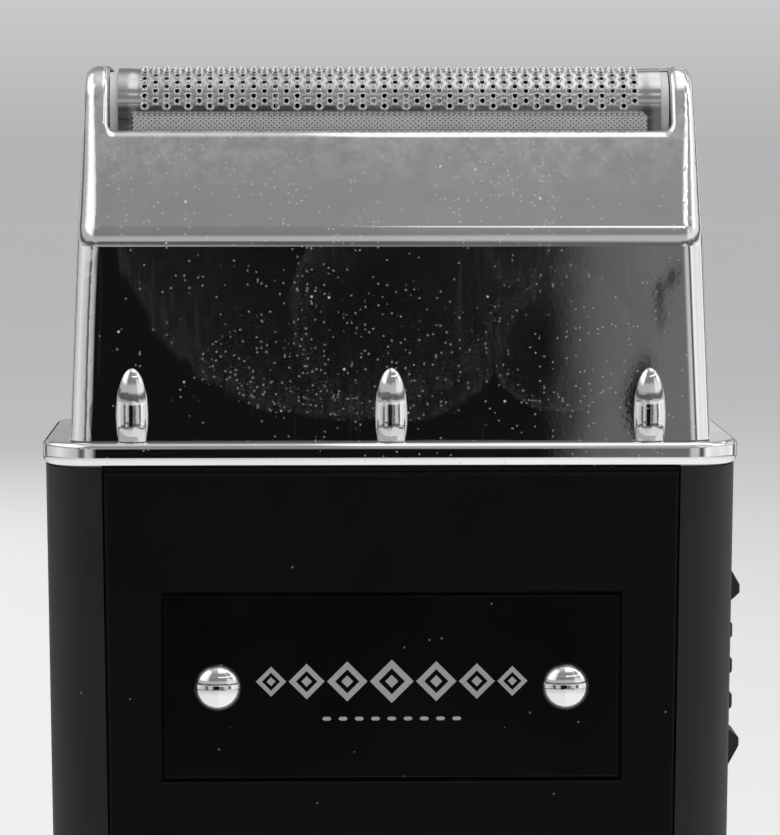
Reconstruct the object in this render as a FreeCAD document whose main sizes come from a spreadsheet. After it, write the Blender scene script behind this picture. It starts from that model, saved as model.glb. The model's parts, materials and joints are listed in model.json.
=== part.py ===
import FreeCAD, Part
import os
import re

import Sketcher
from FreeCAD import Placement, Rotation, Vector

# Two-foil barber shaver, a parametric document.
# Frame: millimetres, +Z up through the foils, origin at the centre of the flat bottom face.
# The front, with the nameplate, faces -Y, and the slide switch is on the +X side.

# Driving dimensions, in millimetres unless a comment says otherwise.
SIZES = {
    # body casing
    "body_top": 79.8,
    "half_width": 31.0,
    "side_taper": 0.0125,  # half-width lost per millimetre of drop below body_top
    "half_depth": 14.8,
    "wall": 2.0,
    "over": 1.0,  # how far a cutting tool runs past what it cuts
    "past_wall": 5.0,
    "screw_gap": 0.1,
    "corner": 5.5,
    "inner_corner": 3.5,
    "cap_top": 3.0,
    "cap_rim": 6.0,
    "cap_skirt": 27.8,
    "cap_skirt_y": 12.5,
    "cap_edge": 1.0,
    "skirt": 1.2,
    "skirt_round": 3.0,
    # front and rear panels
    "panel_half": 25.7,
    "panel_face": 15.0,
    "panel_thick": 1.2,
    "panel_bottom": 4.0,
    "panel_top": 79.4,
    "panel_bevel": 0.35,
    "panel_gap": 0.05,
    # nameplate
    "plate_middle": 60.2,
    "plate_width": 40.5,
    "plate_tall": 16.4,
    "plate_thick": 0.7,
    "plate_sunk": 0.8,
    "plate_gap": 0.3,
    "plate_bevel": 0.16,
    "plate_round": 0.15,
    "rivet_end_gap": 0.05,
    "rivet_reach": 15.5,
    "rivet_radius": 2.15,
    "rivet_dome": 1.5,
    "rivet_shank": 0.9,
    # case fasteners
    "case_screw_low": 43.0,
    "case_screw_high": 74.3,
    "case_screw_out": 22.0,
    "case_screw_in": 18.0,
    "boss": 2.2,
    "case_head": 1.9,
    "case_head_deep": 1.4,
    "case_shank": 0.9,
    "case_screw_long": 19.0,
    "case_hole_front": 9.0,
    "thread_gap": 0.04,
    "cap_screw_out": 22.0,
    "cap_screw_back": -2.0,
    "cap_screw_long": 7.2,
    "cap_screw_low": 0.2,
    "cap_head_gap": 0.15,
    "cap_head_room": 1.3,
    # drive deck
    "deck_bottom": 77.0,
    "deck_half": 28.4,
    "deck_depth": 12.3,
    "collar_top": 86.0,
    "collar_half": 27.0,
    "collar_depth": 11.3,
    "collar_wall": 1.5,
    "collar_corner": 2.6,
    "deck_hole": 4.6,
    "leaf_screw_x": 23.4,
    "leaf_screw_y": 2.8,
    "deck_screw_x": 22.5,
    "deck_screw_y": 8.0,
    "deck_screw_long": 5.0,
    "motor_screw_past": 0.9,
    "seal_bore_gap": 0.2,
    "seal_long": 2.2,
    "leaf_hole_gap": 0.05,
    # motor
    "motor_radius": 9.9,
    "motor_wall": 0.8,
    "motor_bottom": 47.5,
    "bell_bottom": 44.5,
    "terminal_bottom": 42.0,
    "magnet_inner": 7.4,
    "magnet_low": 53.0,
    "magnet_high": 71.0,
    "core_radius": 6.9,
    "core_low": 55.0,
    "core_high": 69.0,
    "winding_radius": 6.2,
    "winding_reach": 3.0,
    "commutator_radius": 2.2,
    "commutator_low": 47.6,
    "commutator_high": 51.6,
    "bush_radius": 3.0,
    "bush_long": 2.0,
    "shaft_radius": 1.0,
    "running_gap": 0.05,
    "shaft_bottom": 45.0,
    "shaft_top": 84.0,
    "motor_screw_out": 7.2,
    "motor_round": 0.6,
    "bell_wall": 2.0,
    "bell_hollow": 1.2,
    "magnet_split": 2.2,
    "terminal_out": 6.0,
    "terminal_half_x": 0.25,
    "terminal_half_y": 1.2,
    "core_slot_deep": 1.4,
    "core_slot_half": 0.45,
    "winding_bore_gap": 0.6,
    "winding_round": 1.2,
    "hub_round": 0.4,
    # eccentric and oscillator
    "hub_radius": 4.0,
    "hub_low": 81.0,
    "hub_high": 87.0,
    "pin_radius": 1.0,
    "throw": 0.9,
    "pin_low": 85.0,
    "pin_high": 93.6,
    "bridge_half": 21.3,
    "bridge_depth": 6.5,
    "bridge_low": 91.0,
    "bridge_high": 94.0,
    "yoke_half_x": 2.9,
    "yoke_half_y": 2.5,
    "plate_corner": 1.0,
    "window_x": 12.5,
    "window_wide": 9.0,
    "window_deep": 7.6,
    "post_round": 0.4,
    "post_radius": 1.25,
    "post_low": 91.5,
    "post_high": 105.0,
    "leaf_thick": 0.4,
    "leaf_depth": 5.0,
    "leaf_foot": 25.0,
    "leaf_screw_long": 3.0,
    # cutters
    "cutter_offset": 4.2,
    "cutter_half": 21.0,
    "cutter_depth": 3.0,
    "cutter_low": 102.0,
    "cutter_high": 108.6,
    "cutter_bore_top": 106.2,
    "spine_radius": 2.0,
    "spine_short": 0.2,
    "blade_radius": 3.22,
    "blade_inner": 2.04,
    "blade_thick": 0.35,
    "blade_pitch": 1.45,
    "blade_count": 29,
    "blade_foot": 109.0,
    # foils
    "foil_axis": 111.85,
    "foil_radius": 3.4,
    "foil_thick": 0.1,
    "foil_half": 24.45,
    "foil_bottom": 105.0,
    "rail_low": 104.6,
    "rail_high": 108.15,
    "rail_outer": 3.9,
    "rail_inner": 4.0,
    "end_out": 25.2,
    "end_radius": 3.05,
    "end_low": 103.5,
    # springs
    "spring_wire": 0.3,
    "spring_coil": 1.75,
    "spring_turns": 5,
    "foil_spring_coil": 0.95,
    "foil_spring_wire": 0.21,
    "foil_spring_out": 24.3,
    # head
    "head_top": 115.45,
    "flange_half": 31.22,
    "flange_depth": 15.45,
    "flange_corner": 5.4,
    "flange_top": 82.05,
    "flange_round": 0.5,
    "flange_foot_round": 0.95,
    "head_half_low": 28.8,
    "head_half_high": 27.35,
    "head_depth_low": 12.95,
    "ridge_level": 100.3,
    "head_depth_ridge": 12.45,
    "head_depth_top": 6.82,
    "ridge_drop": 0.18,  # how far the ridge sinks per millimetre of inset: tan of half its bend
    "ridge_radius": 5.5,
    "ear_radius": 3.8,
    "head_corner": 2.1,
    "ear_corner": 1.0,
    "head_wall": 1.3,
    "window_half": 25.3,
    "window_depth": 7.8,
    "rim_level": 109.6,
    "rim_under": 108.3,
    "rim_round": 1.0,
    "ear_round": 0.55,
    "ear_foot": 0.6,
    "rib_half": 1.45,
    "rib_deep": 1.0,
    "rib_sunk": 0.15,
    "rib_middle": 2.2,
    "rib_reach": 4.3,
    "rib_pitch": 23.1,
    # foil retainer
    "retainer_low": 98.0,
    "retainer_high": 99.5,
    "retainer_half": 26.3,
    "retainer_depth": 10.8,
    "retainer_open_half": 22.6,
    "retainer_open_depth": 8.0,
    "retainer_screw_x": 25.0,
    "retainer_screw_y": 9.4,
    "head_boss": 1.5,
    "head_boss_top": 103.2,
    "head_boss_blind": 0.6,
    "retainer_head": 1.36,
    "retainer_screw_long": 4.6,
    # small screws
    "small_head": 1.6,
    "small_head_deep": 1.1,
    "small_shank": 0.8,
    "cross_wide": 0.45,
    "cross_deep": 0.6,
    # battery and electrics
    "cell_radius": 9.1,
    "cell_half": 24.9,
    "cell_back": -2.6,
    "cell_level": 19.5,
    "cell_gap": 0.1,
    "tab_thick": 0.2,
    "tab_front": 5.0,
    "tab_rise": 0.2,
    "tab_tall": 3.0,
    "tab_lap": 2.0,
    "cell_round": 0.5,
    "cell_end_gap": 0.4,
    "foot_radius": 2.4,
    "cradle_half": 27.0,
    "cradle_front": -12.4,
    "cradle_rear": 7.2,
    "cradle_low": 9.0,
    "board_half": 22.0,
    "board_front": 8.0,
    "board_thick": 1.6,
    "board_low": 5.0,
    "board_high": 40.0,
    "socket_wide": 8.94,
    "socket_tall": 3.26,
    "socket_low": 0.8,
    "socket_high": 8.1,
    "socket_wall": 0.3,
    "socket_tongue": 0.7,
    "socket_round": 1.6,
    "socket_inner_round": 1.3,
    "tongue_inset": 1.2,
    "tongue_low": 0.8,
    "tongue_high": 0.5,
    "port_gap": 0.2,
    "port_round": 1.75,
    "lens_x": 9.0,
    "lens_radius": 1.0,
    "lens_gap": 0.02,
    "lens_low": 0.1,
    "lens_past_cap": 0.8,
    "led_half": 0.8,
    "led_deep": 2.2,
    "led_tall": 1.2,
    "wire_radius": 0.5,
    "wire_start_out": 10.0,
    "wire_start_drop": 2.0,
    "wire_bend_out": 9.5,
    "wire_bend_back": 3.5,
    "wire_bend_drop": 3.5,
    "wire_end_rise": 0.9,
    # slide switch
    "recess_floor": 29.6,
    "recess_low": 50.0,
    "recess_high": 74.8,
    "recess_half": 4.2,
    "knob_low": 50.4,
    "knob_long": 20.0,
    "knob_half": 4.0,
    "knob_face": 30.95,
    "knob_bump": 1.4,
    "bump_long": 4.5,
    "bump_crest": 2.9,
    "crest_half": 0.35,
    "crest_inset": 0.5,
    "knob_rib": 0.75,
    "knob_rib_long": 1.5,
    "knob_rib_pitch": 3.28,
    "knob_round": 0.5,
    "knob_gap": 0.05,
    "bump_root": 0.1,
    "bump_inset": 0.4,
    "bump_round": 0.3,
    "knob_rib_root": 0.5,
    "knob_rib_inset": 0.8,
    "knob_rib_round": 0.35,
    "switch_travel": 4.0,
    "stem_half": 1.0,
    "stem_tall": 2.4,
    "carrier_face": 28.4,
    "carrier_thick": 1.2,
    "carrier_half_y": 3.5,
    "carrier_half_z": 6.0,
    "carrier_round": 0.3,
    "lever_half_y": 0.75,
    "lever_half_z": 1.0,
    "lever_engage": 1.4,
    "slot_gap": 0.2,
    "slot_ends": 0.4,
    "stem_gap": 0.3,
    "switch_half_y": 3.0,
    "switch_below": 5.0,
    "switch_above": 9.0,
    "switch_board_half_y": 6.0,
    "switch_board_below": 7.5,
    "switch_board_above": 9.2,
    "switch_face": 24.0,
    "switch_back": 20.0,
    "switch_board_back": 18.8,
}

doc = FreeCAD.newDocument("foil_shaver")
sheet = doc.addObject("Spreadsheet::Sheet", "dim")
for row, (alias, number) in enumerate(SIZES.items(), start=1):
    sheet.set(f"A{row}", alias)
    sheet.set(f"B{row}", str(number))
    sheet.setAlias(f"B{row}", alias)
doc.recompute()

SUBPARTS = []
ARMATURE_SLOTS = 3
CLOSE = 0.01  # lengths that differ by less than this count as equal
NEARLY_ALONG = 0.99  # cosine of the widest angle at which an edge still runs along an axis
CROSS_REACH = 1.1  # length of a screw's cross slots as a share of its head's radius
SHANK_START = 0.5  # depth in the head, as a share of the head's own, at which the shank starts
TURNS = {
    "+z": Rotation(),
    "-z": Rotation(Vector(1, 0, 0), 180),
    "+x": Rotation(Vector(0, 1, 0), 90),
    "-x": Rotation(Vector(0, 1, 0), -90),
    "+y": Rotation(Vector(1, 0, 0), -90),
    "-y": Rotation(Vector(1, 0, 0), 90),
}


# ---------------------------------------------------------------- helpers
def formula(text):
    """Turn the sheet's aliases in a formula into references to its cells."""
    def cell(word):
        return "dim." + word.group() if word.group() in SIZES else word.group()
    return re.sub(r"[a-z][a-z0-9_]*", cell, str(text))


def value(text):
    """The number that a formula on the sheet gives."""
    return float(sheet.evalExpression(formula(text)))


def bind(thing, **formulas):
    for name, text in formulas.items():
        thing.setExpression(name.replace("__", "."), formula(text))


def place(thing, at, along="+z"):
    thing.Placement = Placement(Vector(), TURNS[along])
    bind(thing, Placement__Base__x=at[0], Placement__Base__y=at[1], Placement__Base__z=at[2])


def box(x, y, z):
    """A box from three (low, high) pairs of formulas."""
    solid = doc.addObject("Part::Box", "box")
    for name, (low, high) in zip(("Length", "Width", "Height"), (x, y, z)):
        bind(solid, **{name: f"({high}) - ({low})"})
    place(solid, (x[0], y[0], z[0]))
    return solid


def rod(radius, length, at, along="+z"):
    solid = doc.addObject("Part::Cylinder", "rod")
    bind(solid, Radius=radius, Height=length)
    place(solid, at, along)
    return solid


def dome(radius, rise, at, along):
    """Half an ellipsoid of revolution that stands up from at."""
    solid = doc.addObject("Part::Ellipsoid", "dome")
    bind(solid, Radius1=rise, Radius2=radius, Radius3=radius)
    solid.Angle1 = 0
    place(solid, at, along)
    return solid


def fuse(*shapes):
    joined = doc.addObject("Part::MultiFuse", "fuse")
    joined.Shapes = list(shapes)
    joined.Refine = True
    return joined


def cut(base, *tools):
    rest = doc.addObject("Part::Cut", "cut")
    rest.Base = base
    rest.Tool = tools[0] if len(tools) == 1 else fuse(*tools)
    rest.Refine = True
    return rest


def common(*shapes):
    shared = doc.addObject("Part::MultiCommon", "common")
    shared.Shapes = list(shapes)
    return shared


def group(*shapes):
    """Separate solids that share one node."""
    together = doc.addObject("Part::Compound", "group")
    together.Links = list(shapes)
    return together


def tube(outer, inner, length, at, along="+z"):
    return cut(rod(outer, length, at, along), rod(inner, length, at, along))


def subpart(thing, label):
    thing.Label = label
    SUBPARTS.append(thing)
    return thing


def edges(shape, wanted):
    """Numbers, counted from 1, of the edges whose ends pass a test."""
    return [n for n, edge in enumerate(shape.Edges, start=1) if wanted(edge)]


def is_along(edge, axis):
    """True for a straight edge that runs within a few degrees of an axis."""
    if edge.Degenerated or edge.Curve.TypeId != "Part::GeomLine":
        return False
    return abs(edge.tangentAt(edge.FirstParameter).dot(axis)) > NEARLY_ALONG


def rounded(base, radius, wanted):
    """A Part::Fillet over the edges of base that pass the test."""
    doc.recompute()
    fillet = doc.addObject("Part::Fillet", "fillet")
    fillet.Base = base
    size = value(radius)
    fillet.Edges = [(n, size, size) for n in edges(base.Shape, wanted)]
    return fillet


def solid_body(name):
    return doc.addObject("PartDesign::Body", name)


def sketch_on(body, plane, at):
    """An empty sketch on an origin plane, moved by (right, up, along the normal)."""
    sketch = body.newObject("Sketcher::SketchObject", "sketch")
    support = [part for part in body.Origin.OriginFeatures if part.Role == plane]
    sketch.AttachmentSupport = (support[0], [""])
    sketch.MapMode = "FlatFace"
    for axis, text in zip("xyz", at):
        sketch.setExpression("AttachmentOffset.Base." + axis, formula(text))
    return sketch


def trapezium(body, plane, at, low_width, high_width, height):
    """A four-sided sketch, symmetric about its own vertical axis, standing on its origin."""
    sketch = sketch_on(body, plane, at)
    wide_low, wide_high, tall = value(low_width), value(high_width), value(height)
    corners = [
        Vector(-wide_low / 2, 0), Vector(wide_low / 2, 0),
        Vector(wide_high / 2, tall), Vector(-wide_high / 2, tall),
    ]
    for start, end in zip(corners, corners[1:] + corners[:1]):
        sketch.addGeometry(Part.LineSegment(start, end))
    for side in range(4):
        sketch.addConstraint(Sketcher.Constraint("Coincident", side, 2, (side + 1) % 4, 1))
    sketch.addConstraint(Sketcher.Constraint("Symmetric", 0, 1, 0, 2, -1, 1))
    sketch.addConstraint(Sketcher.Constraint("Horizontal", 0))
    sketch.addConstraint(Sketcher.Constraint("Symmetric", 2, 1, 2, 2, -2))
    for name, kind, first, second, text, number in (
        ("low", "DistanceX", (0, 1), (0, 2), low_width, wide_low),
        ("high", "DistanceX", (2, 2), (2, 1), high_width, wide_high),
        ("tall", "DistanceY", (1, 1), (1, 2), height, tall),
    ):
        index = sketch.addConstraint(Sketcher.Constraint(kind, *first, *second, number))
        sketch.renameConstraint(index, name)
        sketch.setExpression("Constraints." + name, formula(text))
    return sketch


def pad(body, sketch, length, reverse=False):
    feature = body.newObject("PartDesign::Pad", "pad")
    feature.Profile = sketch
    feature.Reversed = reverse
    bind(feature, Length=length)
    sketch.Visibility = False
    doc.recompute()
    return feature


def pocket(body, sketch, length, reverse=False):
    """Cut a sketch against its normal, or along it when reversed."""
    before = body.Shape.Volume
    feature = body.newObject("PartDesign::Pocket", "pocket")
    feature.Profile = sketch
    feature.Reversed = reverse
    bind(feature, Length=length)
    doc.recompute()
    if body.Shape.Volume >= before:
        raise RuntimeError(body.Label + ": a pocket cut nothing")
    return feature


def soften(body, radius, wanted, kind="Fillet"):
    """Fillet or chamfer the body's edges that pass the test."""
    doc.recompute()
    base = body.Tip
    feature = body.newObject("PartDesign::" + kind, kind.lower())
    feature.Base = (base, [f"Edge{n}" for n in edges(base.Shape, wanted)])
    bind(feature, **{"Radius" if kind == "Fillet" else "Size": radius})
    doc.recompute()
    return feature


def screw(head, deep, shank, length, at, along):
    """A screw with a cross recess; at is the outer centre of its head."""
    direction = TURNS[along].multVec(Vector(0, 0, 1))

    def ahead(distance):
        return [f"{spot} + ({distance}) * {step:g}" for spot, step in zip(at, direction)]

    def blade(across):
        slot = doc.addObject("Part::Box", "slot")
        long, wide = f"{head} * {CROSS_REACH}", "cross_wide"
        size = (long, wide) if across else (wide, long)
        bind(slot, Length=size[0], Width=size[1], Height="cross_deep")
        slot.Placement = Placement(Vector(), TURNS[along])
        shift = [
            f"({size[0]}) / 2 * {TURNS[along].multVec(Vector(1, 0, 0))[n]:g}"
            f" + ({size[1]}) / 2 * {TURNS[along].multVec(Vector(0, 1, 0))[n]:g}" for n in range(3)
        ]
        bind(slot, **{f"Placement__Base__{axis}": f"{at[n]} - ({shift[n]})"
                      for n, axis in enumerate("xyz")})
        return slot

    shank_end = ahead(f"{deep} * {SHANK_START}")
    return cut(fuse(rod(head, deep, at, along), rod(shank, length, shank_end, along)),
               blade(True), blade(False))


def half_width_at(level):
    return f"(half_width - side_taper * (body_top - ({level})))"


VERTICAL = Vector(0, 0, 1)
ACROSS = Vector(1, 0, 0)
INWARD = Vector(0, 1, 0)


# ---------------------------------------------------------------- casing
def casing_shell(label, side):
    """Half of the body casing, split on the plane y = 0; side is -1 in front and 1 behind."""
    body = solid_body(label + "_blank")
    rear = side > 0
    outline = trapezium(body, "XZ_Plane", ("0", "cap_top", "0"), f"2 * {half_width_at('cap_top')}",
                        "2 * half_width", "body_top - cap_top")
    pad(body, outline, "half_depth", reverse=rear)
    outer_face = side * value("half_depth")
    soften(body, "corner", lambda edge: is_along(edge, VERTICAL)
           and abs(edge.CenterOfMass.y - outer_face) < CLOSE)
    hollow = trapezium(body, "XZ_Plane", ("0", "cap_top - over", "0"),
                       f"2 * ({half_width_at('cap_top')} - wall)", "2 * (half_width - wall)",
                       "body_top - cap_top + 2 * over")
    pocket(body, hollow, "half_depth - wall", reverse=not rear)
    inner_face = side * value("half_depth - wall")
    soften(body, "inner_corner", lambda edge: is_along(edge, VERTICAL)
           and abs(edge.CenterOfMass.y - inner_face) < CLOSE)
    rebate = trapezium(body, "XZ_Plane", ("0", "panel_bottom", f"{-side} * (half_depth + over)"),
                       panel_width("panel_bottom", "panel_gap"), panel_width("body_top + over", "panel_gap"),
                       "body_top + over - panel_bottom")
    pocket(body, rebate, "half_depth + over - (panel_face - panel_thick)", reverse=rear)
    boss_long = "half_depth - wall / 2"
    boss_start = "0" if rear else f"0 - ({boss_long})"
    bosses = [rod("boss", boss_long, (x, boss_start, z), "+y") for x, z in case_screw_spots()]
    recess = box(("recess_floor", "half_width + past_wall"), ("0 - recess_half", "recess_half"),
                 ("recess_low", "recess_high"))
    slot = box(("half_width - wall - past_wall", "half_width + past_wall"),
               ("0 - stem_half - stem_gap", "stem_half + stem_gap"),
               (f"{stem_middle()} - stem_tall / 2 - slot_ends",
                f"{stem_middle()} + stem_tall / 2 + switch_travel + slot_ends"))
    holes = []
    for x, z in case_screw_spots():
        if rear:
            holes.append(rod("case_shank + screw_gap", "half_depth", (x, "0 - over", z), "+y"))
            holes.append(rod("case_head + screw_gap", "case_head_deep + 2 * over",
                             (x, "panel_face - panel_thick - case_head_deep - screw_gap", z), "+y"))
        else:
            holes.append(rod("case_shank + thread_gap", "case_hole_front + over",
                             (x, "0 - case_hole_front", z), "+y"))
    return subpart(cut(fuse(body, *bosses), recess, slot, *holes), label)


def panel_width(level, gap="0"):
    return f"(2 * (panel_half + {gap} - side_taper * (body_top - ({level}))))"


def case_screw_spots():
    return [
        (f"{sign} * {out}", level)
        for out, level in (("case_screw_out", "case_screw_low"), ("case_screw_in", "case_screw_high"))
        for sign in (-1, 1)
    ]


def stem_middle():
    return "(knob_low + knob_long / 2)"


def face_panel(label, side, with_plate):
    """Flat panel with a bevelled outline, let into the casing's face."""
    body = solid_body(label + "_blank")
    rear = side > 0
    outline = trapezium(body, "XZ_Plane", ("0", "panel_bottom", f"{-side} * (panel_face - panel_thick)"),
                        panel_width("panel_bottom"), panel_width("panel_top"), "panel_top - panel_bottom")
    pad(body, outline, "panel_thick", reverse=rear)
    outer_face = side * value("panel_face")
    soften(body, "panel_bevel", lambda edge: abs(edge.CenterOfMass.y - outer_face) < CLOSE, "Chamfer")
    if with_plate:
        recess = trapezium(
            body, "XZ_Plane",
            ("0", "plate_middle - plate_tall / 2 - plate_gap", "panel_face - plate_sunk"),
            "plate_width + 2 * plate_gap", "plate_width + 2 * plate_gap", "plate_tall + 2 * plate_gap")
        pocket(body, recess, "plate_sunk", reverse=True)
        reach = value("plate_width / 2 + plate_gap") + CLOSE
        soften(body, "plate_bevel", lambda edge: abs(edge.CenterOfMass.y - outer_face) < CLOSE
               and max(abs(vertex.X) for vertex in edge.Vertexes) < reach, "Chamfer")
        return subpart(cut(body, *rivet_holes()), label)
    return subpart(body, label)


def rivet_holes():
    return [rod("rivet_shank + thread_gap", "panel_thick + 2 * over",
                (f"{sign} * rivet_reach", "0 - panel_face - over", "plate_middle"), "+y") for sign in (-1, 1)]


def nameplate():
    """Plain plate in the front panel, held by two dome rivets."""
    plate = box(("0 - plate_width / 2", "plate_width / 2"),
                ("0 - panel_face + plate_sunk - plate_thick", "0 - panel_face + plate_sunk"),
                ("plate_middle - plate_tall / 2", "plate_middle + plate_tall / 2"))
    front = value("0 - panel_face + plate_sunk - plate_thick")
    edged = rounded(plate, "plate_round", lambda edge: abs(edge.CenterOfMass.y - front) < CLOSE)
    subpart(cut(edged, *rivet_holes()), "nameplate")

    rivets = []
    for sign in (-1, 1):
        seat = (f"{sign} * rivet_reach", "0 - panel_face + plate_sunk - plate_thick", "plate_middle")
        shank = rod("rivet_shank", "plate_thick + panel_thick - plate_sunk - rivet_end_gap", seat, "+y")
        rivets.append(fuse(dome("rivet_radius", "rivet_dome", seat, "-y"), shank))
    subpart(group(*rivets), "nameplate_rivets")


def bottom_cap():
    """End cap with a skirt inside the casing, a charge port, a lamp hole and two screws."""
    body = solid_body("cap_blank")
    outline = trapezium(body, "XY_Plane", ("0", "0 - half_depth", "0"), f"2 * {half_width_at('cap_top')}",
                        f"2 * {half_width_at('cap_top')}", "2 * half_depth")
    pad(body, outline, "cap_top")
    soften(body, "corner", lambda edge: is_along(edge, VERTICAL))
    soften(body, "cap_edge", lambda edge: abs(edge.BoundBox.ZMax) < CLOSE)
    skirt = cut(
        box(("0 - (cap_skirt)", "cap_skirt"), ("0 - (cap_skirt_y)", "cap_skirt_y"), ("cap_top", "cap_rim")),
        box(("0 - (cap_skirt - skirt)", "cap_skirt - skirt"),
            ("0 - (cap_skirt_y - skirt)", "cap_skirt_y - skirt"), ("cap_top", "cap_rim + over")))
    skirt_round = rounded(skirt, "skirt_round", lambda edge: is_along(edge, VERTICAL)
                          and abs(edge.CenterOfMass.x) > value("cap_skirt") - CLOSE)
    port = rounded(
        box(("0 - socket_wide / 2 - port_gap", "socket_wide / 2 + port_gap"),
            ("board_front - socket_tall - port_gap", "board_front + port_gap"), ("0 - over", "cap_rim")),
        "port_round", lambda edge: is_along(edge, VERTICAL))
    lamp = rod("lens_radius", "cap_rim", ("lens_x", "board_front - socket_tall / 2", "0 - over"))
    screw_holes = []
    for sign in (-1, 1):
        spot = (f"{sign} * cap_screw_out", "cap_screw_back")
        screw_holes.append(rod("small_shank + screw_gap", "cap_top + 2 * over", (*spot, "0 - over")))
        screw_holes.append(rod("small_head + cap_head_gap", "small_head_deep + cap_head_room",
                               (*spot, "0 - over")))
    subpart(cut(fuse(body, skirt_round), port, lamp, *screw_holes), "bottom_cap")
    subpart(group(*[
        screw("small_head", "small_head_deep", "small_shank", "cap_screw_long",
              (f"{sign} * cap_screw_out", "cap_screw_back", "cap_screw_low"), "+z") for sign in (-1, 1)
    ]), "bottom_cap_screws")
    subpart(rod("lens_radius - lens_gap", "cap_top + lens_past_cap",
                ("lens_x", "board_front - socket_tall / 2", "lens_low")), "led_lens")


def case_screws():
    """Four screws that join the shells, put in from behind and covered by the rear panel."""
    subpart(group(*[
        screw("case_head", "case_head_deep", "case_shank", "case_screw_long",
              (x, "panel_face - panel_thick - running_gap", z), "-y") for x, z in case_screw_spots()
    ]), "case_screws")


# ---------------------------------------------------------------- drive deck and motor
def drive_deck():
    """Floor that closes the casing and carries the motor, with the collar that the head slides over."""
    body = solid_body("deck_blank")
    floor = trapezium(body, "XY_Plane", ("0", "0 - deck_depth", "deck_bottom"), "2 * deck_half",
                      "2 * deck_half", "2 * deck_depth")
    pad(body, floor, "body_top - deck_bottom")
    soften(body, "inner_corner", lambda edge: is_along(edge, VERTICAL))
    collar = trapezium(body, "XY_Plane", ("0", "0 - collar_depth", "body_top"), "2 * collar_half",
                       "2 * collar_half", "2 * collar_depth")
    pad(body, collar, "collar_top - body_top")
    low, high = value("body_top"), value("collar_top")
    soften(body, "collar_corner", lambda edge: is_along(edge, VERTICAL)
           and abs(edge.BoundBox.ZMax - high) < CLOSE and abs(edge.BoundBox.ZMin - low) < CLOSE)
    well = trapezium(body, "XY_Plane", ("0", "0 - (collar_depth - collar_wall)", "collar_top + over"),
                     "2 * (collar_half - collar_wall)", "2 * (collar_half - collar_wall)",
                     "2 * (collar_depth - collar_wall)")
    pocket(body, well, "collar_top + over - body_top")
    through = "collar_top - deck_bottom + 2 * over"
    holes = [rod("deck_hole", through, ("0", "0", "deck_bottom - over"))]
    for sign in (-1, 1):
        holes.append(rod("small_shank + screw_gap", through,
                         (f"{sign} * motor_screw_out", "0", "deck_bottom - over")))
        for side in (-1, 1):
            holes.append(rod("small_shank + thread_gap", through,
                             (f"{sign} * leaf_screw_x", f"{side} * leaf_screw_y", "deck_bottom - over")))
            holes.append(rod("small_shank + screw_gap", through,
                             (f"{sign} * deck_screw_x", f"{side} * deck_screw_y", "deck_bottom - over")))
    subpart(cut(body, *holes), "drive_deck")
    subpart(group(*[
        screw("small_head", "small_head_deep", "small_shank", "deck_screw_long",
              (f"{sign} * deck_screw_x", f"{side} * deck_screw_y", "body_top + small_head_deep"), "-z")
        for sign in (-1, 1) for side in (-1, 1)
    ]), "deck_screws")
    subpart(group(*[
        screw("small_head", "small_head_deep", "small_shank", "body_top - deck_bottom + motor_screw_past",
              (f"{sign} * motor_screw_out", "0", "body_top + small_head_deep"), "-z") for sign in (-1, 1)
    ]), "motor_screws")
    subpart(tube("deck_hole", "shaft_radius + seal_bore_gap", "seal_long",
                 ("0", "0", "deck_bottom + seal_bore_gap")), "shaft_seal")


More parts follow.
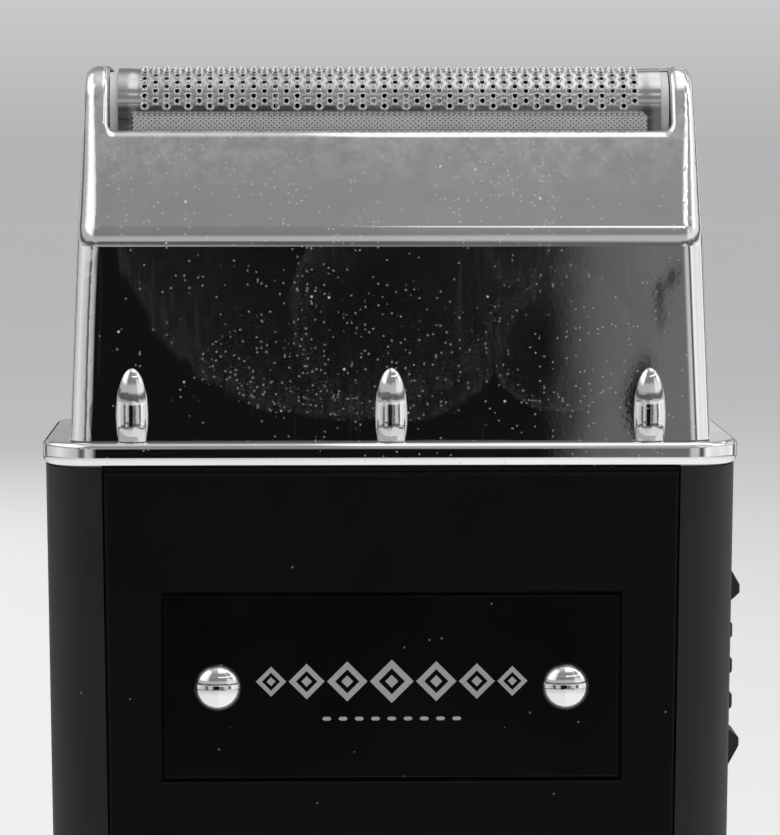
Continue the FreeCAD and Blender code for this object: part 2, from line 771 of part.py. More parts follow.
def motor():
    """Can, magnets, end bell, terminals and bushings of the brushed motor, then its rotor."""
    deep = "deck_bottom - motor_bottom"
    axis = ("0", "0")
    shell = cut(rod("motor_radius", deep, (*axis, "motor_bottom")),
                rod("motor_radius - motor_wall", f"{deep} - motor_wall", (*axis, "motor_bottom")))
    cut_from, cut_long = "deck_bottom - motor_wall - over", "motor_wall + 2 * over"
    holes = [rod("small_shank + thread_gap", cut_long, (f"{sign} * motor_screw_out", "0", cut_from))
             for sign in (-1, 1)]
    can = rounded(shell, "motor_round", lambda edge: abs(edge.BoundBox.ZMin - value("deck_bottom")) < CLOSE)
    subpart(cut(can, rod("bush_radius", cut_long, (*axis, cut_from)), *holes), "motor_can")
    subpart(cut(rod("motor_radius", "motor_bottom - bell_bottom", (*axis, "bell_bottom")),
                rod("motor_radius - bell_wall", "bell_hollow + over", (*axis, "motor_bottom - bell_hollow")),
                rod("bush_radius", "motor_bottom - bell_bottom + 2 * over", (*axis, "bell_bottom - over"))),
            "motor_end_bell")
    ring = tube("motor_radius - motor_wall", "magnet_inner", "magnet_high - magnet_low",
                (*axis, "magnet_low"))
    gap = box(("0 - motor_radius", "motor_radius"), ("0 - magnet_split", "magnet_split"),
              ("magnet_low - over", "magnet_high + over"))
    subpart(cut(ring, gap), "motor_magnets")
    subpart(group(*[
        box((f"{sign} * terminal_out - terminal_half_x", f"{sign} * terminal_out + terminal_half_x"),
            ("0 - terminal_half_y", "terminal_half_y"), ("terminal_bottom", "bell_bottom"))
        for sign in (-1, 1)
    ]), "motor_terminals")
    subpart(group(*[
        tube("bush_radius", "shaft_radius + running_gap", "bush_long", (*axis, low))
        for low in ("deck_bottom - bush_long", "bell_bottom + screw_gap")
    ]), "motor_bushings")

    subpart(rod("shaft_radius", "shaft_top - shaft_bottom", (*axis, "shaft_bottom")), "motor_shaft")
    slots = []
    core = rod("core_radius", "core_high - core_low", (*axis, "core_low"))
    for number in range(ARMATURE_SLOTS):
        slot = box(("winding_radius - core_slot_deep", "core_radius + over"),
                   ("0 - core_slot_half", "core_slot_half"), ("core_low - over", "core_high + over"))
        turned = doc.addObject("Part::Feature", "turned_slot")
        doc.recompute()
        turned.Shape = slot.Shape
        turned.Placement = Placement(Vector(), Rotation(VERTICAL, 360 * (number + 0.5) / ARMATURE_SLOTS))
        slots.append(turned)
    bore = rod("shaft_radius", "core_high - core_low + 2 * over", (*axis, "core_low - over"))
    subpart(cut(core, bore, *slots), "armature_core")
    windings = [
        tube("winding_radius", "shaft_radius + winding_bore_gap", "winding_reach", (*axis, low))
        for low in ("core_high", "core_low - winding_reach")
    ]
    doc.recompute()
    outer = value("winding_radius")
    subpart(group(*[
        rounded(turn, "winding_round", lambda edge: edge.Curve.TypeId == "Part::GeomCircle"
                and abs(edge.Curve.Radius - outer) < CLOSE) for turn in windings
    ]), "armature_windings")
    subpart(tube("commutator_radius", "shaft_radius", "commutator_high - commutator_low",
                 (*axis, "commutator_low")), "commutator")


# ---------------------------------------------------------------- eccentric and oscillator
def eccentric():
    """Hub on the motor shaft with a pin set off its axis."""
    hub = rounded(rod("hub_radius", "hub_high - hub_low", ("0", "0", "hub_low")), "hub_round",
                  lambda edge: edge.Curve.TypeId == "Part::GeomCircle")
    subpart(cut(hub, rod("shaft_radius", "shaft_top - hub_low + over", ("0", "0", "hub_low - over")),
                rod("pin_radius", "hub_high - pin_low + over", ("0", "throw", "pin_low"))), "eccentric_hub")
    subpart(rod("pin_radius", "pin_high - pin_low", ("0", "throw", "pin_low")), "eccentric_pin")


def oscillator():
    """Bridge that the eccentric pin sweeps from side to side, its flexure legs and its two posts."""
    body = solid_body("bridge_blank")
    plate = trapezium(body, "XY_Plane", ("0", "0 - bridge_depth", "bridge_low"), "2 * bridge_half",
                      "2 * bridge_half", "2 * bridge_depth")
    pad(body, plate, "bridge_high - bridge_low")
    soften(body, "plate_corner", lambda edge: is_along(edge, VERTICAL))
    yoke = trapezium(body, "XY_Plane", ("0", "0 - yoke_half_y", "bridge_high + over"), "2 * yoke_half_x",
                     "2 * yoke_half_x", "2 * yoke_half_y")
    pocket(body, yoke, "bridge_high - bridge_low + 2 * over")
    for sign in (-1, 1):
        light = trapezium(body, "XY_Plane",
                          (f"{sign} * window_x", "0 - window_deep / 2", "bridge_high + over"),
                          "window_wide", "window_wide", "window_deep")
        pocket(body, light, "bridge_high - bridge_low")
    post_holes = [rod("post_radius", "bridge_high - post_low + over",
                      ("0", f"{sign} * cutter_offset", "post_low")) for sign in (-1, 1)]
    subpart(cut(body, *post_holes), "oscillator_bridge")
    posts = []
    for sign in (-1, 1):
        post = rod("post_radius", "post_high - post_low", ("0", f"{sign} * cutter_offset", "post_low"))
        posts.append(rounded(post, "post_round", lambda edge: edge.BoundBox.ZMin > value("post_high") - CLOSE))
    subpart(group(*posts), "drive_posts")

    legs = []
    screws = []
    for sign in (-1, 1):
        low, high = sorted(("bridge_half", "bridge_half + leaf_thick"), reverse=sign < 0)
        leaf = box((f"{sign} * ({low})", f"{sign} * ({high})"), ("0 - leaf_depth", "leaf_depth"),
                   ("body_top", "bridge_high"))
        low, high = sorted(("bridge_half", "leaf_foot"), reverse=sign < 0)
        foot = box((f"{sign} * ({low})", f"{sign} * ({high})"), ("0 - leaf_depth", "leaf_depth"),
                   ("body_top", "body_top + leaf_thick"))
        holes = []
        for side in (-1, 1):
            x, y = f"{sign} * leaf_screw_x", f"{side} * leaf_screw_y"
            holes.append(rod("small_shank + leaf_hole_gap", "leaf_thick + 2 * over",
                             (x, y, "body_top - over")))
            screws.append(screw("small_head", "small_head_deep", "small_shank", "leaf_screw_long",
                                (x, y, "body_top + leaf_thick + small_head_deep"), "-z"))
        legs.append(cut(fuse(leaf, foot), *holes))
    subpart(group(*legs), "flexure_legs")
    subpart(group(*screws), "flexure_screws")


# ---------------------------------------------------------------- cutters, foils and springs
def arch(radius, half, side, bottom, axis_level):
    """A bar along X with a round top: a cylinder on a box of the same width."""
    middle = f"{side} * cutter_offset"
    return fuse(rod(radius, f"2 * ({half})", (f"0 - ({half})", middle, axis_level), "+x"),
                box((f"0 - ({half})", half), (f"{middle} - ({radius})", f"{middle} + ({radius})"),
                    (bottom, axis_level)))


def coil(radius, wire, low, high, turns, spots):
    """Open helical springs of round wire at each of the spots."""
    rise = high - low - 2 * wire
    path = Part.Wire(Part.makeHelix(rise / turns, rise, radius))
    profile = Part.Wire(Part.makeCircle(wire, Vector(radius, 0, 0), INWARD))
    one = path.makePipeShell([profile], True, True)
    springs = []
    for x, y in spots:
        spring = one.copy()
        spring.translate(Vector(x, y, low + wire))
        springs.append(spring)
    thing = doc.addObject("Part::Feature", "coil")
    thing.Shape = Part.makeCompound(springs)
    return thing


def cutter(name, side):
    """Inner cutter: a plastic base with a rounded spine, and steel blades hooped over the spine."""
    middle = f"{side} * cutter_offset"
    body = solid_body(f"cutter_{name}_bar")
    bar = trapezium(body, "XY_Plane", ("0", f"{middle} - cutter_depth", "cutter_low"), "2 * cutter_half",
                    "2 * cutter_half", "2 * cutter_depth")
    pad(body, bar, "cutter_high - cutter_low")
    soften(body, "plate_corner", lambda edge: is_along(edge, VERTICAL))
    spine = arch("spine_radius", "cutter_half - spine_short", side, "cutter_high", "foil_axis")
    bore = rod("post_radius + running_gap", "cutter_bore_top - cutter_low + over",
               ("0", middle, "cutter_low - over"))
    subpart(cut(fuse(body, spine), bore), f"cutter_{name}_base")

    axis = value("foil_axis")
    foot = value("blade_foot") - axis
    outer, inner = value("blade_radius"), value("blade_inner")
    edge_list = [
        Part.Arc(Vector(0, outer, 0), Vector(0, 0, outer), Vector(0, -outer, 0)).toShape(),
        Part.makeLine(Vector(0, -outer, 0), Vector(0, -outer, foot)),
        Part.makeLine(Vector(0, -outer, foot), Vector(0, -inner, foot)),
        Part.makeLine(Vector(0, -inner, foot), Vector(0, -inner, 0)),
        Part.Arc(Vector(0, -inner, 0), Vector(0, 0, inner), Vector(0, inner, 0)).toShape(),
        Part.makeLine(Vector(0, inner, 0), Vector(0, inner, foot)),
        Part.makeLine(Vector(0, inner, foot), Vector(0, outer, foot)),
        Part.makeLine(Vector(0, outer, foot), Vector(0, outer, 0)),
    ]
    hoop = Part.Face(Part.Wire(edge_list)).extrude(Vector(value("blade_thick"), 0, 0))
    count = int(value("blade_count"))
    first = -value("blade_pitch") * (count - 1) / 2 - value("blade_thick") / 2
    hoops = []
    for number in range(count):
        blade = hoop.copy()
        blade.translate(Vector(first + number * value("blade_pitch"), value(middle), axis))
        hoops.append(blade)
    blades = doc.addObject("Part::Feature", "blades")
    blades.Shape = Part.makeCompound(hoops)
    subpart(blades, f"cutter_{name}_blades")

    subpart(coil(value("spring_coil"), value("spring_wire"), value("bridge_high"), value("cutter_low"),
                 value("spring_turns"), [(0, value(middle))]), f"cutter_spring_{name}")


def foil_unit(name, side):
    """Arched foil, its plastic holder and the two springs that let it float."""
    middle = f"{side} * cutter_offset"
    outside = arch("foil_radius", "foil_half", side, "foil_bottom", "foil_axis")
    inside = arch("foil_radius - foil_thick", "foil_half + over", side, "foil_bottom - over", "foil_axis")
    subpart(cut(outside, inside), f"foil_{name}")
    rails = []
    for inner, reach in ((side, "rail_outer"), (-side, "rail_inner")):
        low, high = f"{middle} + {inner} * foil_radius", f"{middle} + {inner} * {reach}"
        if inner < 0:
            low, high = high, low
        rails.append(box(("0 - end_out", "end_out"), (low, high), ("rail_low", "rail_high")))
    ends = []
    for sign in (-1, 1):
        low, high = ("foil_half", "end_out") if sign > 0 else ("0 - end_out", "0 - foil_half")
        ends.append(box((low, high), (f"{middle} - end_radius", f"{middle} + end_radius"),
                        ("end_low", "foil_axis")))
        ends.append(rod("end_radius", "end_out - foil_half", (low, middle, "foil_axis"), "+x"))
        ends.append(box((low, high), (f"{middle} - rail_outer", f"{middle} + rail_outer"),
                        ("rail_low", "rail_high")))
    subpart(fuse(*rails, *ends), f"foil_holder_{name}")
    spots = [(sign * value("foil_spring_out"), value(middle)) for sign in (-1, 1)]
    subpart(coil(value("foil_spring_coil"), value("foil_spring_wire"), value("retainer_high"),
                 value("end_low"), value("spring_turns"), spots), f"foil_spring_{name}")


# ---------------------------------------------------------------- head
HEAD_SLOPE = "((head_depth_ridge - head_depth_top) / (head_top - ridge_level))"
HEAD_LEAN = "((head_half_low - head_half_high) / (head_top - body_top))"


def head_block(name, inset, top):
    """The tapered head, pulled in by inset: its side view crossed with its front view."""
    ridge = f"(ridge_level - {inset} * ridge_drop)"
    reach = f"(head_half_low - {inset})"
    side_view = solid_body(name + "_side_view")
    low = trapezium(side_view, "YZ_Plane", ("0", "body_top", f"0 - {reach}"),
                    f"2 * (head_depth_low - {inset})", f"2 * (head_depth_ridge - {inset})",
                    f"{ridge} - body_top")
    pad(side_view, low, f"2 * {reach}")
    rise = f"({top} - {ridge})"
    high = trapezium(side_view, "YZ_Plane", ("0", ridge, f"0 - {reach}"), f"2 * (head_depth_ridge - {inset})",
                     f"2 * (head_depth_ridge - {inset} - {rise} * {HEAD_SLOPE})", rise)
    pad(side_view, high, f"2 * {reach}")
    front_view = solid_body(name + "_front_view")
    face = trapezium(front_view, "XZ_Plane", ("0", "body_top", "0 - half_depth"), f"2 * {reach}",
                     f"2 * ({reach} - ({top} - body_top) * {HEAD_LEAN})", f"{top} - body_top")
    pad(front_view, face, "2 * half_depth")
    return common(side_view, front_view)


def straight_across_at(level):
    """An edge test: straight along X at this height."""
    height = value(level)
    return lambda edge: is_along(edge, ACROSS) and abs(edge.CenterOfMass.z - height) < CLOSE


def corner_radius_at(level):
    """The corner rounding is constant up to the ridge and narrows from there to the ears."""
    ridge, top = value("ridge_level"), value("head_top")
    share = min(max((level - ridge) / (top - ridge), 0), 1)
    return value("head_corner") * (1 - share) + value("ear_corner") * share


def end_levels(edge):
    """Heights of the edge's two ends, in the order of its parameter."""
    return [edge.valueAt(at).z for at in (edge.FirstParameter, edge.LastParameter)]


def outer_head():
    """Rounded outer solid of the head, without its flange and ribs."""
    block = rounded(head_block("outer", "0", "head_top"), "ridge_radius", straight_across_at("ridge_level"))
    block = rounded(block, "ear_radius", straight_across_at("head_top"))
    doc.recompute()
    side, foot = value("head_half_high") - CLOSE, value("body_top") + CLOSE
    corners = []
    for number, edge in enumerate(block.Shape.Edges, start=1):
        if abs(edge.CenterOfMass.x) > side and edge.CenterOfMass.z > foot:
            corners.append((number, *[corner_radius_at(level) for level in end_levels(edge)]))
    fillet = doc.addObject("Part::Fillet", "corners")
    fillet.Base = block
    fillet.Edges = corners
    return fillet


def head_flange():
    """Rounded flange that stands on the casing's rim."""
    body = solid_body("flange")
    plan = trapezium(body, "XY_Plane", ("0", "0 - flange_depth", "body_top"), "2 * flange_half",
                     "2 * flange_half", "2 * flange_depth")
    pad(body, plan, "flange_top - body_top")
    soften(body, "flange_corner", lambda edge: is_along(edge, VERTICAL))
    middle = value("(flange_top + body_top) / 2")
    soften(body, "flange_foot_round",
           lambda edge: not is_along(edge, VERTICAL) and edge.CenterOfMass.z < middle)
    soften(body, "flange_round", lambda edge: edge.CenterOfMass.z > value("flange_top") - CLOSE)
    return body


def on_notch_outline(edge):
    """An edge test: on the outline that the notch between the ears cuts in the head's outer skin."""
    middle = edge.CenterOfMass
    reach = max(abs(vertex.X) for vertex in edge.Vertexes)
    beside_window = abs(abs(middle.y) - value("window_depth")) < CLOSE
    at_ear_foot = is_along(edge, INWARD) and middle.z < value("rim_level + ear_foot") + CLOSE
    return (middle.z > value("rim_level") - CLOSE and reach < value("window_half") + CLOSE
            and not beside_window and not at_ear_foot)


def notch_radius_at(level):
    """The rounding is wide along the rim and narrows round the notch's corners to the ears' edges."""
    share = min(max((level - value("rim_level")) / value("ear_foot"), 0), 1)
    return value("rim_round") * (1 - share) + value("ear_round") * share


def head_shell():
    """Chromed head: flange, tapered walls, ridge, ears at the ends of the foil window, ribs, bosses."""
    depth_at_flange = ("(head_depth_low - (head_depth_low - head_depth_ridge)"
                       " * (flange_top - body_top) / (ridge_level - body_top))")
    ribs = []
    for place_x in ("0 - rib_pitch", "0", "rib_pitch"):
        for side in (-1, 1):
            middle = f"{side} * ({depth_at_flange} - rib_sunk)"
            rib = doc.addObject("Part::Ellipsoid", "rib")
            bind(rib, Radius1="rib_reach", Radius2="rib_half", Radius3="rib_deep")
            place(rib, (place_x, middle, "flange_top + rib_middle"))
            ribs.append(rib)
    whole = fuse(outer_head(), head_flange(), *ribs)
    hollow = head_block("hollow", "head_wall", "rim_under")
    window = box(("0 - window_half", "window_half"), ("0 - window_depth", "window_depth"),
                 ("rim_under - over", "head_top + over"))
    notch = box(("0 - window_half", "window_half"), ("0 - half_width", "half_width"),
                ("rim_level", "head_top + over"))
    notch = rounded(notch, "ear_foot", lambda edge: is_along(edge, INWARD)
                    and abs(edge.CenterOfMass.z - value("rim_level")) < CLOSE)
    open_head = cut(whole, hollow, window, notch)
    doc.recompute()
    shell = doc.addObject("Part::Fillet", "notch_rounding")
    shell.Base = open_head
    outline = edges(open_head.Shape, on_notch_outline)
    shell.Edges = [(number, *map(notch_radius_at, end_levels(open_head.Shape.Edges[number - 1])))
                   for number in outline]
    bosses = []
    holes = []
    for x, y in retainer_screw_spots():
        bosses.append(rod("head_boss", "head_boss_top - retainer_high", (x, y, "retainer_high")))
        holes.append(rod("small_shank + thread_gap", "head_boss_top - retainer_high - head_boss_blind",
                         (x, y, "retainer_high")))
    subpart(cut(fuse(shell, *bosses), *holes), "head_shell")


def retainer_screw_spots():
    return [(f"{sign} * retainer_screw_x", f"{side} * retainer_screw_y")
            for sign in (-1, 1) for side in (-1, 1)]


def head_retainer():
    """Ring screwed up inside the head; the foil springs stand on it."""
    body = solid_body("retainer_ring")
    plan = trapezium(body, "XY_Plane", ("0", "0 - retainer_depth", "retainer_low"), "2 * retainer_half",
                     "2 * retainer_half", "2 * retainer_depth")
    pad(body, plan, "retainer_high - retainer_low")
    soften(body, "plate_corner", lambda edge: is_along(edge, VERTICAL))
    opening = trapezium(body, "XY_Plane", ("0", "0 - retainer_open_depth", "retainer_high + over"),
                        "2 * retainer_open_half", "2 * retainer_open_half", "2 * retainer_open_depth")
    pocket(body, opening, "retainer_high - retainer_low + 2 * over")
    holes = [rod("small_shank + screw_gap", "retainer_high - retainer_low + 2 * over",
                 (x, y, "retainer_low - over")) for x, y in retainer_screw_spots()]
    subpart(cut(body, *holes), "head_retainer")
    subpart(group(*[
        screw("retainer_head", "small_head_deep", "small_shank", "retainer_screw_long",
              (x, y, "retainer_low - small_head_deep"), "+z") for x, y in retainer_screw_spots()
    ]), "retainer_screws")


# ---------------------------------------------------------------- battery and electrics
CHIPS = [  # x, z, width, height and thickness of each part on the board
    (-8, 24, 5, 6, 1.2), (4, 30, 4, 4, 0.9), (13, 22, 6, 6, 2.2),
    (0, 14, 3, 3, 0.8), (-16, 34, 6, 4, 2.4), (16, 34, 6, 4, 2.4),
]
RESISTOR_ROW = (-16, 10, 3, 5, 1.6, 0.8, 0.5)  # first x, z, pitch, count, width, height, thickness
CAPACITOR = (-15, 18, 2, 2.6)  # x, z, radius, height


def battery():
    """Lithium cell on its cradle, with the two tabs that join it to the board."""
    start = ("0 - cell_half", "cell_back", "cell_level")
    cell = rounded(rod("cell_radius", "2 * cell_half", start, "+x"), "cell_round",
                   lambda edge: edge.Curve.TypeId == "Part::GeomCircle")
    subpart(cell, "battery_cell")
    tabs = []
    for sign in (-1, 1):
        low, high = sorted(("cell_half", "cell_half + tab_thick"), reverse=sign < 0)
        height = ("cell_level + tab_rise", "cell_level + tab_rise + tab_tall")
        end = box((f"{sign} * ({low})", f"{sign} * ({high})"), ("0 - tab_front", "board_front"), height)
        low, high = sorted(("board_half - tab_lap", "cell_half + tab_thick"), reverse=sign < 0)
        arm = box((f"{sign} * ({low})", f"{sign} * ({high})"),
                  ("board_front - tab_thick", "board_front"), height)
        tabs.append(fuse(end, arm))
    subpart(group(*tabs), "battery_tabs")

    tray = rounded(
        box(("0 - cradle_half", "cradle_half"), ("cradle_front", "cradle_rear"),
            ("cradle_low", "cell_level")),
        "inner_corner", lambda edge: is_along(edge, VERTICAL))
    feet = [rod("foot_radius", "cradle_low - cap_top",
                (f"{sign} * cap_screw_out", "cap_screw_back", "cap_top")) for sign in (-1, 1)]
    hollow = rod("cell_radius + cell_gap", "2 * (cell_half + cell_end_gap)",
                 ("0 - cell_half - cell_end_gap", "cell_back", "cell_level"), "+x")
    holes = [rod("small_shank + thread_gap", "cradle_low - cap_top + over",
                 (f"{sign} * cap_screw_out", "cap_screw_back", "cap_top - over")) for sign in (-1, 1)]
    subpart(cut(fuse(tray, *feet), hollow, *holes), "battery_cradle")


def circuit():
    """Circuit board with its parts, the charge socket and the lamp."""
    back = "(board_front + board_thick)"
    board = box(("0 - board_half", "board_half"), ("board_front", back), ("board_low", "board_high"))
    subpart(board, "circuit_board")

    def chip(x, z, wide, tall, thick):
        return box((f"{x} - {wide} / 2", f"{x} + {wide} / 2"), (back, f"{back} + {thick}"),
                   (f"{z} - {tall} / 2", f"{z} + {tall} / 2"))

    parts = [chip(*sizes) for sizes in CHIPS]
    row_x, row_z, pitch, count, wide, tall, thick = RESISTOR_ROW
    parts += [chip(row_x + pitch * number, row_z, wide, tall, thick) for number in range(count)]
    can_x, can_z, can_radius, can_tall = CAPACITOR
    parts.append(rod(can_radius, can_tall, (can_x, back, can_z), "+y"))
    subpart(group(*parts), "circuit_components")

    middle_y = "(board_front - socket_tall / 2)"
    outer = rounded(
        box(("0 - socket_wide / 2", "socket_wide / 2"), (f"{middle_y} - socket_tall / 2", "board_front"),
            ("socket_low", "socket_high")),
        "socket_round", lambda edge: is_along(edge, VERTICAL))
    inner = rounded(
        box(("0 - socket_wide / 2 + socket_wall", "socket_wide / 2 - socket_wall"),
            (f"{middle_y} - socket_tall / 2 + socket_wall", "board_front - socket_wall"),
            ("socket_low - over", "socket_high - over")),
        "socket_inner_round", lambda edge: is_along(edge, VERTICAL))
    tongue = box(("0 - socket_wide / 2 + tongue_inset", "socket_wide / 2 - tongue_inset"),
                 (f"{middle_y} - socket_tongue / 2", f"{middle_y} + socket_tongue / 2"),
                 ("socket_low + tongue_low", "socket_high - tongue_high"))
    subpart(fuse(cut(outer, inner), tongue), "charge_socket")
    subpart(box(("lens_x - led_half", "lens_x + led_half"), ("board_front - led_deep", "board_front"),
                ("board_low", "board_low + led_tall")), "indicator_led")


def wires():
    """Two leads that curve from the board's top edge to the motor terminals."""
    radius = value("wire_radius")
    for name, side in (("red_wire", -1), ("black_wire", 1)):
        start = Vector(side * value("wire_start_out"), value("board_front") - radius,
                       value("board_high - wire_start_drop"))
        middle = Vector(side * value("wire_bend_out"), value("wire_bend_back"),
                        value("board_high - wire_bend_drop"))
        finish = Vector(side * (value("terminal_out + terminal_half_x") + radius), 0,
                        value("terminal_bottom + wire_end_rise"))
        curve = Part.BSplineCurve()
        curve.interpolate([start, middle, finish])
        path = Part.Wire(curve.toShape())
        tangent = curve.tangent(curve.FirstParameter)[0]
        profile = Part.Wire(Part.makeCircle(radius, start, tangent))
        lead = doc.addObject("Part::Feature", "lead")
        lead.Shape = path.makePipeShell([profile], True, True)
        subpart(lead, name)


# ---------------------------------------------------------------- slide switch
def thumb_stop(end, inward):
    """Raised wedge across one end of the knob: a long ramp from the end and a short one inside."""
    foot, crest = f"({end} {inward} bump_long)", f"({end} {inward} bump_crest)"
    low, high = (end, foot) if inward == "+" else (foot, end)
    wedge = doc.addObject("Part::Wedge", "thumb_stop")
    bind(wedge, Xmin="0 - knob_half + bump_inset", Xmax="knob_half - bump_inset",
         X2min="0 - knob_half + bump_inset + crest_inset", X2max="knob_half - bump_inset - crest_inset",
         Ymin="0 - bump_root", Ymax="knob_bump", Zmin=low, Zmax=high,
         Z2min=f"{crest} - crest_half", Z2max=f"{crest} + crest_half")
    wedge.Placement = Placement(Vector(), Rotation(Vector(0, 0, 1), -90))
    bind(wedge, Placement__Base__x="knob_face")
    top = value("knob_face + knob_bump")
    return rounded(wedge, "bump_round", lambda edge: edge.BoundBox.XMin > top - CLOSE)


def side_switch():
    """Ribbed knob in the side recess, its carrier and lever inside, and the fixed slide switch."""
    middle = stem_middle()
    plate = rounded(
        box(("recess_floor + knob_gap", "knob_face"), ("0 - knob_half", "knob_half"),
            ("knob_low", "knob_low + knob_long")),
        "knob_round", lambda edge: is_along(edge, ACROSS) or edge.BoundBox.XMin > value("knob_face") - CLOSE)
    raised = [thumb_stop("knob_low", "+"), thumb_stop("(knob_low + knob_long)", "-")]
    for number in (-1, 0, 1):
        low = f"{middle} + {number} * knob_rib_pitch - knob_rib_long / 2"
        rib = box(("knob_face - knob_rib_root", "knob_face + knob_rib"),
                  ("0 - knob_half + knob_rib_inset", "knob_half - knob_rib_inset"),
                  (low, f"{low} + knob_rib_long"))
        crest = value("knob_face + knob_rib")
        raised.append(rounded(rib, "knob_rib_round", lambda edge: edge.BoundBox.XMin > crest - CLOSE))
    stem = box(("carrier_face", "recess_floor + stem_gap"), ("0 - stem_half", "stem_half"),
               (f"{middle} - stem_tall / 2", f"{middle} + stem_tall / 2"))
    subpart(fuse(plate, stem, *raised), "switch_knob")

    carrier = box(("carrier_face - carrier_thick", "carrier_face"), ("0 - carrier_half_y", "carrier_half_y"),
                  (f"{middle} - carrier_half_z", f"{middle} + carrier_half_z"))
    subpart(rounded(carrier, "carrier_round", lambda edge: is_along(edge, ACROSS)), "switch_carrier")
    lever = box(("switch_face - lever_engage", "carrier_face - carrier_thick"),
                ("0 - lever_half_y", "lever_half_y"),
                (f"{middle} - lever_half_z", f"{middle} + lever_half_z"))
    subpart(lever, "switch_lever")
    case = box(("switch_back", "switch_face"), ("0 - switch_half_y", "switch_half_y"),
               (f"{middle} - switch_below", f"{middle} + switch_above"))
    slot = box(("switch_face - lever_engage - slot_ends", "switch_face + over"),
               ("0 - lever_half_y - slot_gap", "lever_half_y + slot_gap"),
               (f"{middle} - lever_half_z - slot_ends",
                f"{middle} + lever_half_z + switch_travel + slot_ends"))
    subpart(cut(case, slot), "slide_switch_case")
    subpart(box(("switch_board_back", "switch_back"), ("0 - switch_board_half_y", "switch_board_half_y"),
                (f"{middle} - switch_board_below", f"{middle} + switch_board_above")), "switch_board")


# ---------------------------------------------------------------- the assembly
casing_shell("front_shell", -1)
casing_shell("rear_shell", 1)
face_panel("front_panel", -1, with_plate=True)
face_panel("rear_panel", 1, with_plate=False)
nameplate()
bottom_cap()
case_screws()
drive_deck()
motor()
eccentric()
oscillator()
for unit, side in (("front", -1), ("rear", 1)):
    cutter(unit, side)
    foil_unit(unit, side)
head_shell()
head_retainer()
battery()
circuit()
wires()
side_switch()
doc.recompute()

faults = [thing.Label for thing in doc.Objects if {"Invalid", "Error"} & set(thing.State)]
for thing in SUBPARTS:
    if thing.Shape.isNull() or not thing.Shape.isValid() or not thing.Shape.Solids:
        faults.append(thing.Label + " has no valid solid")
if faults:
    raise RuntimeError("not written: " + ", ".join(faults))

os.makedirs("parts", exist_ok=True)
for thing in SUBPARTS:
    thing.Shape.exportStep(f"parts/{thing.Label}.step")
print(len(SUBPARTS), "sub-parts written")
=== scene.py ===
import json
import math

import bmesh
import bpy
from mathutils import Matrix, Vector


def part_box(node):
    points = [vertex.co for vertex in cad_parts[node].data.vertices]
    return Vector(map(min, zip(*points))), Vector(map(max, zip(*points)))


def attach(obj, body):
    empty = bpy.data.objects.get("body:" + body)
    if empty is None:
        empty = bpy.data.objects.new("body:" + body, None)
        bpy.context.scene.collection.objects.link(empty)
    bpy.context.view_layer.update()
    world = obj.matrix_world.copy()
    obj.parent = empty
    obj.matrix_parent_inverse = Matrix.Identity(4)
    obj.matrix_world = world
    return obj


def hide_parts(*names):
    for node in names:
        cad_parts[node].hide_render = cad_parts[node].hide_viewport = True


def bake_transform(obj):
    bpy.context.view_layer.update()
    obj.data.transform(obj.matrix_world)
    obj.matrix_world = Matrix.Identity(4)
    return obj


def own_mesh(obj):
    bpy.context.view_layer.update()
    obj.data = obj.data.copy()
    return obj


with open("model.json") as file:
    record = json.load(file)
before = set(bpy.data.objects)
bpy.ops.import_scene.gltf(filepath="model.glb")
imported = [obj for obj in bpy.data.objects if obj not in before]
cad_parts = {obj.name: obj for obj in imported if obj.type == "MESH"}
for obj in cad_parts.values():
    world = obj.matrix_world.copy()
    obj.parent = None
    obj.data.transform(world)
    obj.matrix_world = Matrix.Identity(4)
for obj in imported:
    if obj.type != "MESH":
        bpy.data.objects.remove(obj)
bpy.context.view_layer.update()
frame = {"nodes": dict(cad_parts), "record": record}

# Looks for the two-foil barber shaver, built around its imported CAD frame. Lengths are in metres.
MM = 0.001
WIPES = ((0.0009, 0.0937, 0.0103), (0.0150, 0.0912, 0.0068), (-0.0050, 0.1040, 0.0205))  # x, z, radius
RIM_GRIME = (0.1035, 0.1100)         # heights between which a mottled film grows towards the rim


